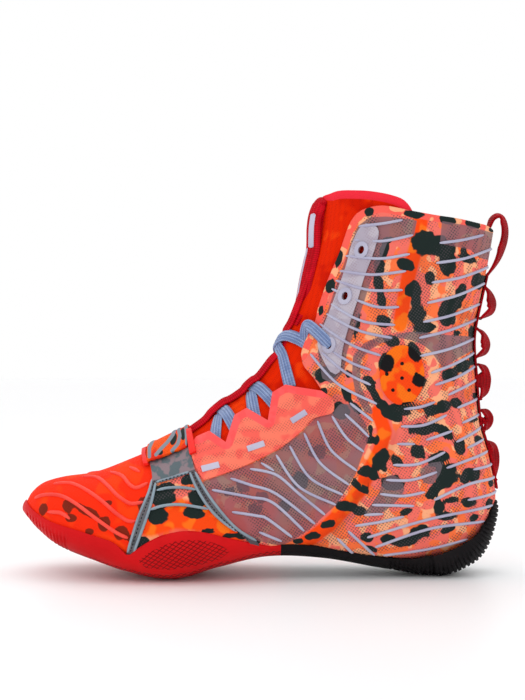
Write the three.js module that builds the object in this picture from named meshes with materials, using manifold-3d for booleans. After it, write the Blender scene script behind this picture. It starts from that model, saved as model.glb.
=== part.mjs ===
// High-top boxing shoe, left foot, standing empty on its sole. Millimetres, +X to the toe,
// +Y to the outer side of the foot, +Z up. The origin is the middle of the heel's flat tread, on the floor.
import * as THREE from 'three';
import { mergeVertices } from 'three/addons/utils/BufferGeometryUtils.js';
import Module from 'manifold-3d';

const wasm = await Module();
wasm.setup();

// Driving sizes
const shoeLength = 292; // toe tip to the back of the heel
const shoeHeight = 238; // floor to the top of the tongue
const ballWidth = 96; // upper's width across the ball of the foot
const upperWall = 2.0;
const gap = 0.3; // between pieces that touch
const overlaySkin = 1.0; // eyestay, saddle and facing
const tongueWall = 2.4;
const laceWidth = 6.5;
const laceThickness = 1.2;
const tapeWidth = 11;
const tapeThickness = 1.3;
const insoleThickness = 3.0;
const soleSide = 2.2; // rubber on the side of the foot
const heelTeeth = { from: 10.3, to: 14.6, count: 15, width: 1.8, depth: 1.1 };
const padThickness = 3.2;
const tabWidth = 14;
const labelThickness = 0.8;
const labelWidth = 9;
const eyeletRise = 1.3;
const eyeletRim = 2.3; // width of the ring around the hole
const eyeletHole = { wide: 4.4, tall: 6.0 };
const ventRadius = 1.0;
const stepsPerRow = 1;
const stepsAround = 36;

// One row for each section, toe first. top and base are the section's two ends in the side view, as shares
// of shoeLength and shoeHeight. outer, inner and ridge are the half widths on the two sides and the sideways
// place of the ridge, as shares of ballWidth. belly is where the section is widest, from base to top,
// lowPower and highPower how square it is below and above that. sole is the rubber under it, in mm.
const sectionColumns = [
  'topX', 'topZ', 'baseX', 'baseZ', 'outer', 'inner', 'ridge', 'belly', 'lowPower', 'highPower', 'sole'];
const sectionRows = [
  [0.862, 0.188, 0.864, 0.161, 0.021, 0.146, -0.062, 0.45, 2.2, 2.2, 2.0],
  [0.851, 0.210, 0.851, 0.146, 0.115, 0.240, -0.062, 0.42, 2.2, 2.2, 2.4],
  [0.828, 0.232, 0.826, 0.120, 0.229, 0.333, -0.055, 0.40, 2.3, 2.2, 3.2],
  [0.786, 0.247, 0.783, 0.091, 0.344, 0.406, -0.042, 0.38, 2.6, 2.2, 4.6],
  [0.718, 0.260, 0.711, 0.065, 0.438, 0.448, -0.032, 0.36, 2.9, 2.1, 6.0],
  [0.648, 0.292, 0.637, 0.036, 0.495, 0.474, -0.026, 0.34, 3.0, 2.0, 6.0],
  [0.573, 0.333, 0.546, 0.021, 0.521, 0.479, -0.021, 0.32, 3.0, 1.9, 6.6],
  [0.503, 0.385, 0.452, 0.042, 0.510, 0.448, -0.021, 0.29, 3.0, 1.85, 4.4],
  [0.439, 0.448, 0.350, 0.059, 0.458, 0.401, -0.016, 0.26, 3.0, 1.8, 2.3],
  [0.389, 0.492, 0.234, 0.053, 0.401, 0.359, -0.010, 0.25, 3.0, 1.8, 2.3],
  [0.350, 0.550, 0.117, 0.031, 0.365, 0.349, 0.000, 0.25, 2.8, 1.85, 3.3],
  [0.323, 0.612, 0.000, 0.035, 0.354, 0.354, 0.000, 0.28, 2.6, 1.95, 9.6],
  [0.312, 0.637, -0.058, 0.050, 0.354, 0.354, 0.000, 0.31, 2.5, 1.95, 8.6],
  [0.305, 0.652, -0.090, 0.078, 0.354, 0.354, 0.000, 0.33, 2.4, 2.0, 7.4],
  [0.298, 0.672, -0.119, 0.130, 0.354, 0.354, 0.000, 0.36, 2.3, 2.0, 3.8],
  [0.285, 0.714, -0.131, 0.200, 0.359, 0.359, 0.000, 0.42, 2.2, 2.1, 2.2],
  [0.272, 0.760, -0.117, 0.302, 0.365, 0.365, 0.000, 0.48, 2.1, 2.1, 1.8],
  [0.261, 0.805, -0.096, 0.396, 0.370, 0.370, 0.000, 0.50, 2.0, 2.1, 1.8],
  [0.253, 0.846, -0.088, 0.505, 0.375, 0.375, 0.000, 0.50, 2.0, 2.1, 1.8],
  [0.246, 0.888, -0.083, 0.609, 0.380, 0.380, 0.000, 0.50, 2.0, 2.1, 1.8],
  [0.242, 0.927, -0.096, 0.698, 0.390, 0.390, 0.000, 0.50, 2.1, 2.1, 1.8],
  [0.238, 0.966, -0.110, 0.773, 0.400, 0.400, 0.000, 0.50, 2.1, 2.1, 1.8],
  [0.235, 1.003, -0.121, 0.844, 0.411, 0.411, 0.000, 0.50, 2.1, 2.1, 1.8],
  [0.232, 1.039, -0.130, 0.911, 0.417, 0.417, 0.000, 0.50, 2.1, 2.1, 1.8]];
const lastRow = sectionRows.length - 1;
const heelRow = 11;

// Side-view outlines, as [share of shoeLength, share of shoeHeight]
const throatEdge = [
  [0.524, 0.367], [0.516, 0.345], [0.505, 0.352], [0.479, 0.367], [0.454, 0.346], [0.435, 0.334],
  [0.429, 0.372], [0.425, 0.408], [0.396, 0.426], [0.377, 0.408], [0.355, 0.393], [0.348, 0.419],
  [0.345, 0.466], [0.314, 0.487], [0.299, 0.484], [0.246, 0.471], [0.240, 0.469]];
const shaftEdge = [
  [0.240, 0.469], [0.265, 0.513], [0.285, 0.552], [0.280, 0.591], [0.261, 0.630], [0.240, 0.695],
  [0.223, 0.760], [0.206, 0.833], [0.197, 0.878], [0.183, 0.917], [0.149, 0.951]];
const collarEdge = [
  [0.149, 0.951], [0.102, 0.953], [0.051, 0.943], [-0.045, 0.922], [-0.091, 0.906], [-0.120, 0.896],
  [-0.140, 0.872]];
const tongueTop = [
  [0.270, 0.940], [0.231, 0.958], [0.221, 0.987], [0.200, 0.999], [0.125, 0.995], [0.085, 0.982],
  [0.059, 0.961], [0.049, 0.940]];
const tongueHidden = [
  [0.058, 0.865], [0.100, 0.700], [0.150, 0.560], [0.210, 0.430], [0.300, 0.360], [0.400, 0.290],
  [0.480, 0.275], [0.540, 0.310]];
const eyestayFoot = [
  [0.232, 0.451], [0.221, 0.435], [0.221, 0.418], [0.251, 0.405], [0.282, 0.373], [0.325, 0.336],
  [0.368, 0.305], [0.412, 0.277], [0.454, 0.256], [0.490, 0.240], [0.507, 0.299]];
const saddleOutline = [
  [0.605, 0.294], [0.527, 0.336], [0.520, 0.302], [0.503, 0.250], [0.482, 0.203], [0.450, 0.159],
  [0.420, 0.125], [0.380, 0.089], [0.367, 0.073], [0.393, 0.089], [0.431, 0.124], [0.465, 0.159],
  [0.493, 0.195], [0.514, 0.240], [0.520, 0.258], [0.588, 0.229], [0.594, 0.201], [0.609, 0.156],
  [0.628, 0.096], [0.641, 0.060], [0.653, 0.049], [0.635, 0.107], [0.617, 0.167], [0.604, 0.208],
  [0.602, 0.263]];
const padOutline = [
  [0.609, 0.312], [0.604, 0.299], [0.525, 0.341], [0.522, 0.360], [0.522, 0.430], [0.650, 0.430],
  [0.650, 0.330]];
const facingOutline = [
  [0.134, 0.893], [0.117, 0.883], [0.108, 0.859], [0.121, 0.799], [0.140, 0.729], [0.157, 0.656],
  [0.180, 0.578], [0.202, 0.536], [0.229, 0.516], [0.255, 0.531], [0.263, 0.563], [0.254, 0.605],
  [0.231, 0.652], [0.208, 0.708], [0.188, 0.773], [0.172, 0.839], [0.157, 0.880]];
const eyeletPlaces = [[0.153, 0.841], [0.189, 0.719], [0.224, 0.595]];
const eyeletTilt = -0.35; // follows the slope of the facing, in radians
const toeRubberEdge = [
  [0.900, 0.190], [0.858, 0.168], [0.838, 0.147], [0.816, 0.130], [0.783, 0.115], [0.752, 0.104],
  [0.719, 0.094], [0.697, 0.083], [0.675, 0.065], [0.654, 0.042]];
const wingEdge = [
  [0.654, 0.042], [0.624, 0.065], [0.601, 0.082], [0.579, 0.096], [0.556, 0.104], [0.533, 0.107],
  [0.510, 0.107], [0.486, 0.103], [0.452, 0.094], [0.417, 0.082], [0.382, 0.072], [0.348, 0.065],
  [0.322, 0.072]];
const heelRubberEdge = [
  [0.318, 0.072], [0.287, 0.070], [0.244, 0.069], [0.202, 0.063], [0.159, 0.052], [0.117, 0.039],
  [0.059, 0.031], [-0.006, 0.042], [-0.045, 0.057], [-0.072, 0.076], [-0.098, 0.104], [-0.115, 0.135],
  [-0.125, 0.175], [-0.140, 0.200]];
const frontTab = [[0.620, 0.311], [0.612, 0.311], [0.609, 0.268], [0.617, 0.268]];
const rearTab = [[0.519, 0.359], [0.511, 0.362], [0.505, 0.310], [0.514, 0.302]];
const discPlace = { x: 0.072, z: 0.521, wide: 0.047, tall: 0.078 };
const ventPlaces = [
  [0.070, 0.543], [0.041, 0.516], [0.102, 0.518], [0.070, 0.505], [0.089, 0.475], [0.055, 0.474]];

// Where each lace crosses the tongue: the section row and the turn around it, from the outer tab to the
// middle and on to the inner tab. A turn of 0.5 is the ridge.
const laceCrossings = [
  { low: 7.4, middle: 7.7, high: 8.1, reach: 0.115 },
  { low: 8.7, middle: 8.95, high: 9.6, reach: 0.12 },
  { low: 10.2, middle: 10.75, high: 13.0, reach: 0.098 }];

// Loops of the heel tape: two sewn ends on the back line and the bulge between them, as shares of length and
// height. hole is the share of the tape's thickness that the fold keeps open.
const heelLoops = [
  [[-0.117, 0.898], [-0.122, 0.925], [-0.139, 0.936], [-0.154, 0.925], [-0.159, 0.895], [-0.154, 0.850],
    [-0.139, 0.805], [-0.114, 0.768]],
  [[-0.104, 0.755], [-0.120, 0.735], [-0.131, 0.708], [-0.131, 0.685], [-0.120, 0.664], [-0.094, 0.664]],
  [[-0.087, 0.632], [-0.104, 0.625], [-0.117, 0.605], [-0.119, 0.585], [-0.108, 0.564], [-0.086, 0.560]],
  [[-0.088, 0.537], [-0.105, 0.537], [-0.117, 0.520], [-0.120, 0.493], [-0.115, 0.463], [-0.092, 0.450]],
  [[-0.094, 0.418], [-0.112, 0.418], [-0.124, 0.400], [-0.124, 0.384], [-0.115, 0.369], [-0.100, 0.362]],
  [[-0.108, 0.334], [-0.131, 0.331], [-0.136, 0.305], [-0.135, 0.272], [-0.130, 0.246]]];

// Red band along the tongue's ridge: the section row and how far its underside stands off the tongue there,
// in mm, with a hump over each lace crossing
const bandRise = [
  [6.95, 0.4], [7.2, 0.6], [7.45, 3.0], [7.95, 3.0], [8.3, 0.6], [8.6, 1.2], [8.8, 3.0], [9.2, 3.0],
  [9.6, 0.6], [10.1, 0.5], [10.4, 3.0], [11.15, 3.0], [12, 0.6], [13, 0.4], [14, 0.4], [15, 0.4], [16, 0.4],
  [17, 0.4], [18, 0.4], [19, 0.4], [20, 0.4], [20.4, 0.4]];

// Tab sewn to the tongue's top, which folds over and hangs down in front of the shin
const tabRow = 21.15; // where it is sewn
const tabLine = [
  [0.258, 0.957], [0.268, 0.935], [0.270, 0.908], [0.269, 0.875], [0.271, 0.845],
  [0.279, 0.807], [0.286, 0.755], [0.293, 0.715], [0.302, 0.682], [0.310, 0.658]];

// Section columns at row u, smoothly between the rows
function sectionAt(u) {
  const row = Math.min(Math.max(Math.floor(u), 0), lastRow - 1);
  const f = u - row;
  const pick = (i) => sectionRows[Math.min(Math.max(i, 0), lastRow)];
  const [p, q, r, s] = [pick(row - 1), pick(row), pick(row + 1), pick(row + 2)];
  const values = {};
  sectionColumns.forEach((name, i) => {
    const a = 2 * q[i];
    const b = r[i] - p[i];
    const c = 2 * p[i] - 5 * q[i] + 4 * r[i] - s[i];
    const d = 3 * q[i] - p[i] - 3 * r[i] + s[i];
    values[name] = (a + b * f + c * f * f + d * f * f * f) / 2;
  });
  return values;
}

// Point of the shoe's outer form at section row u and turn v: 0 is the base, a quarter the outer side,
// a half the ridge and three quarters the inner side
function formPoint(u, v) {
  const s = sectionAt(u);
  const angle = v * Math.PI * 2;
  const low = Math.cos(angle) > 0;
  const power = 2 / (low ? s.lowPower : s.highPower);
  const along = Math.pow(Math.abs(Math.cos(angle)), power);
  const across = Math.sign(Math.sin(angle)) * Math.pow(Math.abs(Math.sin(angle)), power);
  const t = low ? s.belly * (1 - along) : s.belly + (1 - s.belly) * along;
  const half = across > 0 ? s.outer - s.ridge : s.inner + s.ridge;
  return new THREE.Vector3(
    (s.baseX + (s.topX - s.baseX) * t) * shoeLength,
    (s.ridge + across * half) * ballWidth,
    (s.baseZ + (s.topZ - s.baseZ) * t) * shoeHeight);
}

function formNormal(u, v) {
  const du = 0.05;
  const dv = 0.004;
  const alongU = formPoint(Math.min(u + du, lastRow), v).sub(formPoint(Math.max(u - du, 0), v));
  const alongV = formPoint(u, v + dv).sub(formPoint(u, v - dv));
  return alongU.cross(alongV).normalize();
}

function skinPoint(u, v, offset) {
  const normal = formNormal(u, v);
  const distance = typeof offset === 'function' ? offset(u, normal) : offset;
  return formPoint(u, v).addScaledVector(normal, distance);
}

// The same place on the flat facets that the grid of the form makes
function facetPoint(u, v, offset) {
  const row = Math.min(Math.floor(u * stepsPerRow), lastRow * stepsPerRow - 1);
  const turn = Math.floor(v * stepsAround);
  const f = u * stepsPerRow - row;
  const g = v * stepsAround - turn;
  const corner = (i, j) => skinPoint((row + i) / stepsPerRow, (turn + j) / stepsAround, offset);
  const near = corner(0, 0).lerp(corner(1, 0), f);
  return near.lerp(corner(0, 1).lerp(corner(1, 1), f), g);
}

function toSolid(geometry) {
  const bare = geometry.clone();
  bare.deleteAttribute('normal');
  bare.deleteAttribute('uv');
  const merged = mergeVertices(bare, 1e-4);
  const solid = new wasm.Manifold(new wasm.Mesh({
    numProp: 3,
    vertProperties: new Float32Array(merged.attributes.position.array),
    triVerts: new Uint32Array(merged.index.array),
  }));
  return solid;
}

function toGeometry(solid) {
  const mesh = solid.getMesh();
  const geometry = new THREE.BufferGeometry();
  geometry.setAttribute('position', new THREE.BufferAttribute(new Float32Array(mesh.vertProperties), 3));
  geometry.setIndex(new THREE.BufferAttribute(new Uint32Array(mesh.triVerts), 1));
  geometry.computeVertexNormals();
  return geometry;
}

// Closed wall between two offsets of the form, over rows u0 to u1 and turns v0 to v1. A full turn closes on
// itself, and row 0 is closed at the toe by a pole. isOpen(u, v) leaves cells out, such as the underside.
function wall(inside, outside, { u0 = 0, u1 = lastRow, v0 = 0, v1 = 1, around = stepsAround, isOpen } = {}) {
  const rows = Math.round((u1 - u0) * stepsPerRow);
  const turns = Math.round((v1 - v0) * around);
  const fullTurn = v1 - v0 > 0.999;
  const poleAtToe = u0 === 0 && fullTurn;
  const uAt = (i) => u0 + (u1 - u0) * i / rows;
  const vAt = (j) => v0 + (v1 - v0) * j / turns;
  const columns = fullTurn ? turns : turns + 1;
  const points = [];
  [outside, inside].forEach((offset) => {
    for (let i = 0; i <= rows; i++) {
      for (let j = 0; j < columns; j++) {
        points.push(skinPoint(uAt(i), vAt(j), offset));
      }
    }
  });
  const layer = (rows + 1) * columns;
  const at = (side, i, j) => side * layer + i * columns + (fullTurn ? j % columns : j);
  const faces = [];
  const quad = (a, b, c, d) => faces.push([a, b, c], [a, c, d]);
  const kept = (i, j) => {
    if (i < 0 || i >= rows) return false;
    if (!fullTurn && (j < 0 || j >= turns)) return false;
    const turn = (j + turns) % turns;
    return !(isOpen && isOpen(uAt(i + 0.5), vAt(turn + 0.5)));
  };
  for (let i = 0; i < rows; i++) {
    for (let j = 0; j < turns; j++) {
      if (!kept(i, j)) continue;
      quad(at(0, i, j), at(0, i + 1, j), at(0, i + 1, j + 1), at(0, i, j + 1));
      quad(at(1, i, j), at(1, i, j + 1), at(1, i + 1, j + 1), at(1, i + 1, j));
      if (!kept(i - 1, j) && !(poleAtToe && i === 0)) {
        quad(at(1, i, j), at(0, i, j), at(0, i, j + 1), at(1, i, j + 1));
      }
      if (!kept(i + 1, j)) quad(at(0, i + 1, j), at(1, i + 1, j), at(1, i + 1, j + 1), at(0, i + 1, j + 1));
      if (!kept(i, j - 1)) quad(at(0, i, j), at(1, i, j), at(1, i + 1, j), at(0, i + 1, j));
      if (!kept(i, j + 1)) quad(at(1, i, j + 1), at(0, i, j + 1), at(0, i + 1, j + 1), at(1, i + 1, j + 1));
    }
  }
  if (poleAtToe) {
    [0, 1].forEach((side) => {
      const pole = new THREE.Vector3();
      for (let j = 0; j < columns; j++) pole.add(points[at(side, 0, j)]);
      points.push(pole.divideScalar(columns));
      const tip = points.length - 1;
      for (let j = 0; j < turns; j++) {
        const [here, next] = [at(side, 0, j), at(side, 0, j + 1)];
        faces.push(side ? [tip, next, here] : [tip, here, next]);
      }
    });
  }
  const geometry = new THREE.BufferGeometry().setFromPoints(points);
  geometry.setIndex(faces.flat());
  return toSolid(geometry);
}

// Straight cutter: a side-view outline in shares, run across the shoe from y0 to y1
function sideCutter(outline, y0 = -ballWidth, y1 = ballWidth, holes = []) {
  const place = ([x, z]) => new THREE.Vector2(x * shoeLength, z * shoeHeight);
  const shape = new THREE.Shape(outline.map(place));
  holes.forEach((hole) => shape.holes.push(new THREE.Path(hole.map(place))));
  return extrudeAcross(shape, y0, y1);
}

function extrudeAcross(shape, y0, y1) {
  const settings = { depth: y1 - y0, bevelEnabled: false, curveSegments: 6 };
  const geometry = new THREE.ExtrudeGeometry(shape, settings);
  geometry.rotateX(Math.PI / 2);
  geometry.translate(0, y1, 0);
  return toSolid(geometry);
}

// Side-view band of constant thickness along a smooth line, run across the shoe as webbing is
function webbing(line, thickness, width, count, lift = 0) {
  const places = line.map(([x, z]) => new THREE.Vector3(x * shoeLength, 0, z * shoeHeight));
  const curve = new THREE.CatmullRomCurve3(places, false, 'centripetal');
  const sides = [[], []];
  for (let i = 0; i <= count; i++) {
    const point = curve.getPoint(i / count);
    const tangent = curve.getTangent(i / count);
    const normal = new THREE.Vector2(-tangent.z, tangent.x);
    [lift, lift + thickness].forEach((distance, side) => {
      sides[side].push(new THREE.Vector2(point.x, point.z).addScaledVector(normal, distance));
    });
  }
  const outline = [...sides[0], ...sides[1].reverse()];
  return extrudeAcross(new THREE.Shape(outline), -width / 2, width / 2);
}

// Flat strip that lies on the form along a path of [u, v] places, at the given offset to its underside
function strip(path, offset, width, thickness, count) {
  const turnSpread = 40; // makes a turn about as long as the section rows, so that the curve is even
  const places = path.map(([u, v, lift = 0]) => new THREE.Vector3(u, v * turnSpread, lift));
  const curve = new THREE.CatmullRomCurve3(places);
  const points = [];
  for (let i = 0; i <= count; i++) {
    const here = curve.getPoint(i / count);
    const ahead = curve.getPoint(Math.min(i / count + 0.02, 1));
    const behind = curve.getPoint(Math.max(i / count - 0.02, 0));
    const normal = formNormal(here.x, here.y / turnSpread);
    const next = formPoint(ahead.x, ahead.y / turnSpread);
    const run = next.sub(formPoint(behind.x, behind.y / turnSpread)).normalize();
    const across = new THREE.Vector3().crossVectors(normal, run).normalize();
    const middle = facetPoint(here.x, here.y / turnSpread, offset).addScaledVector(normal, here.z);
    [[-1, 0], [1, 0], [1, 1], [-1, 1]].forEach(([side, up]) => {
      points.push(middle.clone().addScaledVector(across, side * width / 2)
        .addScaledVector(normal, up * thickness));
    });
  }
  const faces = [[0, 2, 1], [0, 3, 2]];
  for (let i = 0; i < count; i++) {
    for (let k = 0; k < 4; k++) {
      const a = i * 4 + k;
      const b = i * 4 + (k + 1) % 4;
      faces.push([a, b, b + 4], [a, b + 4, a + 4]);
    }
  }
  const end = count * 4;
  faces.push([end, end + 1, end + 2], [end, end + 2, end + 3]);
  const geometry = new THREE.BufferGeometry().setFromPoints(points);
  geometry.setIndex(faces.flat());
  return toSolid(geometry);
}

function oval(x, z, wide, tall, tilt, count) {
  const ring = new THREE.EllipseCurve(0, 0, wide / 2, tall / 2, 0, Math.PI * 2, false, tilt);
  return ring.getPoints(count).slice(0, count)
    .map((p) => [x + p.x / shoeLength, z + p.y / shoeHeight]);
}

// What is cut from the upper, as seen from the side: the throat, the shaft's front and the collar
const opening = [
  ...throatEdge, ...shaftEdge.slice(1), ...collarEdge.slice(1), [-0.25, 0.872], [-0.25, 1.3], [0.9, 1.3],
  [0.60, 0.46], [0.55, 0.41]];

function makeUpper() {
  const underfoot = (u, v) => u > 1.4 && u < 12.6 && Math.min(v, 1 - v) * stepsAround < (u < 9 ? 3 : 2);
  return wall(-upperWall, 0, { isOpen: underfoot }).subtract(sideCutter(opening));
}

function makeInsole() {
  const lowest = -upperWall - gap;
  const half = 5 / stepsAround;
  const board = wall(lowest - insoleThickness, lowest, { u0: 2, u1: 13, v0: -half, v1: half });
  return board;
}

const tongueFace = -upperWall - laceThickness - 2 * gap;

function makeTongue() {
  const half = 11 / stepsAround;
  const blank = wall(tongueFace - tongueWall, tongueFace, { u0: 6, v0: 0.5 - half, v1: 0.5 + half });
  const front = [[0.60, 0.36], [0.62, 0.60], [0.35, 0.94]]; // clear of the tongue, in front of it
  return blank.intersect(sideCutter([...tongueTop, ...tongueHidden, ...front]));
}

const soleOffset = (u, normal) => {
  const share = Math.min(1, Math.max(0, -normal.z) + (u > heelRow ? Math.max(0, -normal.x) : 0));
  return soleSide + (sectionAt(u).sole - soleSide) * share * share;
};

function soleBlank(u0, u1) {
  const half = 13 / stepsAround;
  return wall(gap, soleOffset, { u0, u1, v0: u0 === 0 ? 0 : -half, v1: u0 === 0 ? 1 : half });
}

const floorCut = () => sideCutter([[-0.4, 0], [-0.4, -0.4], [1.2, -0.4], [1.2, 0]]);

function makeForefootSole() {
  const outline = [...toeRubberEdge, ...wingEdge.slice(1), [0.320, -0.1], [0.95, -0.1]];
  return soleBlank(0, 10).intersect(sideCutter(outline)).subtract(floorCut());
}

// Notches across the heel's underside and back that leave its teeth, from the arch to the top of the cup
function heelGrooves() {
  const cutters = [];
  for (let i = 0; i < heelTeeth.count; i++) {
    const u = heelTeeth.from + (heelTeeth.to - heelTeeth.from) * i / (heelTeeth.count - 1);
    const crown = facetPoint(u, 0, soleOffset);
    const tread = new THREE.Vector3(crown.x, 0, Math.max(crown.z, 0));
    const out = formNormal(u, 0);
    const along = new THREE.Vector3(-out.z, 0, out.x);
    const corner = (a, b) => {
      const point = tread.clone().addScaledVector(along, a).addScaledVector(out, b);
      return [point.x / shoeLength, point.z / shoeHeight];
    };
    cutters.push(sideCutter([
      corner(-heelTeeth.width / 2, heelTeeth.depth + 3), corner(-heelTeeth.width / 4, -heelTeeth.depth),
      corner(heelTeeth.width / 4, -heelTeeth.depth), corner(heelTeeth.width / 2, heelTeeth.depth + 3)]));
  }
  return cutters.reduce((all, cutter) => all.add(cutter));
}

function makeHeelSole() {
  const outline = [...heelRubberEdge, [-0.35, 0.2], [-0.35, -0.1], [0.318, -0.1]];
  return soleBlank(8, 16).intersect(sideCutter(outline)).subtract(floorCut()).subtract(heelGrooves());
}

// A skin over one side of the form, cut to a side-view outline. side is 1 for outer, -1 for inner.
function overlay(outline, side, { inside = gap, thickness = overlaySkin, u0, u1, holes = [] }) {
  const from = side > 0 ? 1 : 18;
  const turns = { v0: from / stepsAround, v1: (from + 17) / stepsAround };
  const blank = wall(inside, inside + thickness, { u0, u1, ...turns });
  const reach = side > 0 ? [1, ballWidth] : [-ballWidth, -1];
  return blank.intersect(sideCutter(outline, ...reach, holes));
}

function eyestay(side) {
  const inset = 0.002; // the overlay stops just short of the upper's own edge
  const zigzag = throatEdge.slice(2, 16).map(([x, z]) => [x, z - inset]);
  return overlay([...zigzag, ...eyestayFoot], side, { u0: 6, u1: 18 });
}

function facing(side) {
  const margin = 0.4;
  const size = (rim) => [eyeletHole.wide + 2 * rim, eyeletHole.tall + 2 * rim];
  const holes = eyeletPlaces.map(([x, z]) => oval(x, z, ...size(margin), eyeletTilt, 10));
  return overlay(facingOutline, side, { u0: 10, u1: 23, holes });
}

function eyelet(place, side) {
  const [x, z] = place;
  const ring = oval(x, z, eyeletHole.wide + 2 * eyeletRim, eyeletHole.tall + 2 * eyeletRim, eyeletTilt, 16);
  const hole = oval(x, z, eyeletHole.wide, eyeletHole.tall, eyeletTilt, 12);
  return overlay(ring, side, {
    inside: gap * 2 + overlaySkin, thickness: eyeletRise - gap, u0: 10, u1: 23, holes: [hole],
  });
}

function ankleDisc(side) {
  const { x, z, wide, tall } = discPlace;
  const rim = oval(x, z, wide * 2 * shoeLength, tall * 2 * shoeHeight, 0, 24);
  const vents = ventPlaces.map(([vx, vz]) => oval(vx, vz, ventRadius * 2, ventRadius * 2, 0, 6));
  return overlay(rim, side, { u0: 10, u1: 21, thickness: 0.8, holes: vents });
}

function strapPad() {
  const lift = 2 * gap + overlaySkin;
  const domed = (u, normal) => lift + padThickness * (0.7 + 0.3 * Math.max(0, normal.z));
  const blank = wall(lift, domed, { u0: 4, u1: 8, v0: 8 / stepsAround, v1: 28 / stepsAround });
  return blank.intersect(sideCutter(padOutline));
}

// Everything inside the form from u0 up, out to the given offset from it, to trim what rests on it
function filled(outside, u0, u1, v0, v1) {
  return wall(-6, outside, { u0, u1, v0, v1 });
}

function heelTape() {
  const sides = [-tapeWidth / 2, tapeWidth / 2];
  const length = [[-0.5, 0.24], [0.3, 0.24], [0.3, 1.2], [-0.5, 1.2]];
  const base = wall(gap, gap + tapeThickness, { u0: 15, u1: 22, v0: -3 / stepsAround, v1: 3 / stepsAround })
    .intersect(sideCutter(length, ...sides));
  return heelLoops
    .reduce((tape, loop) => tape.add(webbing(loop, tapeThickness, tapeWidth, loop.length + 3)), base)
    .subtract(filled(gap, 14, lastRow, -4 / stepsAround, 4 / stepsAround));
}

function tongueBand() {
  const line = bandRise.map(([u, rise]) => {
    const under = facetPoint(u, 0.5, tongueFace).addScaledVector(formNormal(u, 0.5), rise);
    return [under.x / shoeLength, under.z / shoeHeight];
  });
  return webbing(line, -tapeThickness, tapeWidth, 36);
}

function tongueTab() {
  const sewn = facetPoint(tabRow, 0.5, tongueFace + gap);
  const line = [[sewn.x / shoeLength, sewn.z / shoeHeight], ...tabLine];
  return webbing(line, tapeThickness, tabWidth, 24);
}

function tongueLabel() {
  return webbing(tabLine.slice(1, 9), labelThickness, labelWidth, 16, -gap - labelThickness);
}

function laceCross({ low, middle, high, reach }) {
  const sunk = 0.15; // a flat strip sinks into the rounded tongue, and is trimmed to it
  const underside = tongueFace + gap - sunk - 0.1;
  const clear = 0.25; // the upper strand rides on the lower one
  const strand = (side, lift) => strip([
    [low, 0.5 - side * reach], [(low + middle) / 2, 0.5 - side * reach * 0.5, lift],
    [middle, 0.5, lift * 2], [(middle + high) / 2, 0.5 + side * reach * 0.5, lift],
    [high, 0.5 + side * reach]], underside, laceWidth, laceThickness, 12);
  return strand(1, 0).add(strand(-1, clear))
    .subtract(filled(tongueFace + gap, 6, 15, 12 / stepsAround, 24 / stepsAround));
}

const colours = {
  coral: [0xf2604c, 0.75], red: [0xc8141e, 0.55], orange: [0xf03c10, 0.8], grey: [0x9a9aa2, 0.35],
  black: [0x16161a, 0.6], lace: [0x7f93c0, 0.8], white: [0xd8dce4, 0.7], pink: [0xff5560, 0.6],
};

function material(name) {
  const [color, roughness] = colours[name];
  return new THREE.MeshStandardMaterial({ color, roughness, metalness: 0 });
}

const shoe = new THREE.Group();

function addPiece(name, solid, colour) {
  const mesh = new THREE.Mesh(toGeometry(solid), material(colour));
  mesh.name = name;
  shoe.add(mesh);
}

addPiece('upper', makeUpper(), 'coral');
addPiece('outsole_forefoot', makeForefootSole(), 'red');
addPiece('outsole_heel', makeHeelSole(), 'black');
addPiece('insole', makeInsole(), 'red');
addPiece('tongue', makeTongue(), 'orange');
addPiece('strap_pad', strapPad(), 'grey');
addPiece('heel_tape', heelTape(), 'red');
addPiece('tongue_band', tongueBand(), 'red');
addPiece('tongue_tab', tongueTab(), 'red');
addPiece('tongue_label', tongueLabel(), 'white');
[['outer', 1], ['inner', -1]].forEach(([name, side]) => {
  addPiece(`eyestay_${name}`, eyestay(side), 'pink');
  addPiece(`saddle_${name}`, overlay(saddleOutline, side, { u0: 3, u1: 10 }), 'grey');
  addPiece(`facing_${name}`, facing(side), 'grey');
  addPiece(`ankle_disc_${name}`, ankleDisc(side), 'orange');
  const tab = { inside: 1.6, thickness: 1.5 };
  addPiece(`front_tab_${name}`, overlay(frontTab, side, { ...tab, u0: 4, u1: 8 }), 'red');
  addPiece(`rear_tab_${name}`, overlay(rearTab, side, { ...tab, u0: 5, u1: 9 }), 'red');
  eyeletPlaces.forEach((place, i) => addPiece(`eyelet_${name}_${i + 1}`, eyelet(place, side), 'white'));
});
laceCrossings.forEach((crossing, i) => addPiece(`lace_cross_${i + 1}`, laceCross(crossing), 'lace'));

export default shoe;
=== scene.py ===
import bpy
import bmesh
import math
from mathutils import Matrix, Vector
from mathutils.bvhtree import BVHTree


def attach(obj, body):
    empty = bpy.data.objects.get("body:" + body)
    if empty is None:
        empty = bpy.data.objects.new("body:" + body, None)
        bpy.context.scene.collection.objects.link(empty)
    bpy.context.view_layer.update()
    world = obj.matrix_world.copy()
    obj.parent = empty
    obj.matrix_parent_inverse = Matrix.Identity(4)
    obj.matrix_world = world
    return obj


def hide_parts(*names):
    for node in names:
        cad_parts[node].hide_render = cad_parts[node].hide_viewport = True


# High-top boxing shoe. Metres, +X to the toe, +Y to the outer side, +Z up, origin under the heel.
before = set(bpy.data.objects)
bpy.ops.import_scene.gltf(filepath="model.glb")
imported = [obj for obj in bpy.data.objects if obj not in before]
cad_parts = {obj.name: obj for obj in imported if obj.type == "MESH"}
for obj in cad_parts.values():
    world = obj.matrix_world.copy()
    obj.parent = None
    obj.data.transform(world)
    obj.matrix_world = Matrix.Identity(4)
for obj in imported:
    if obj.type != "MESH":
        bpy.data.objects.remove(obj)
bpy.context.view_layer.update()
print("frame loaded")

# Camera and photo scale
photo = {"pixel": 0.00062, "originX": 433, "originY": 572, "distance": 0.9, "wide": 525, "tall": 700}


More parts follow.
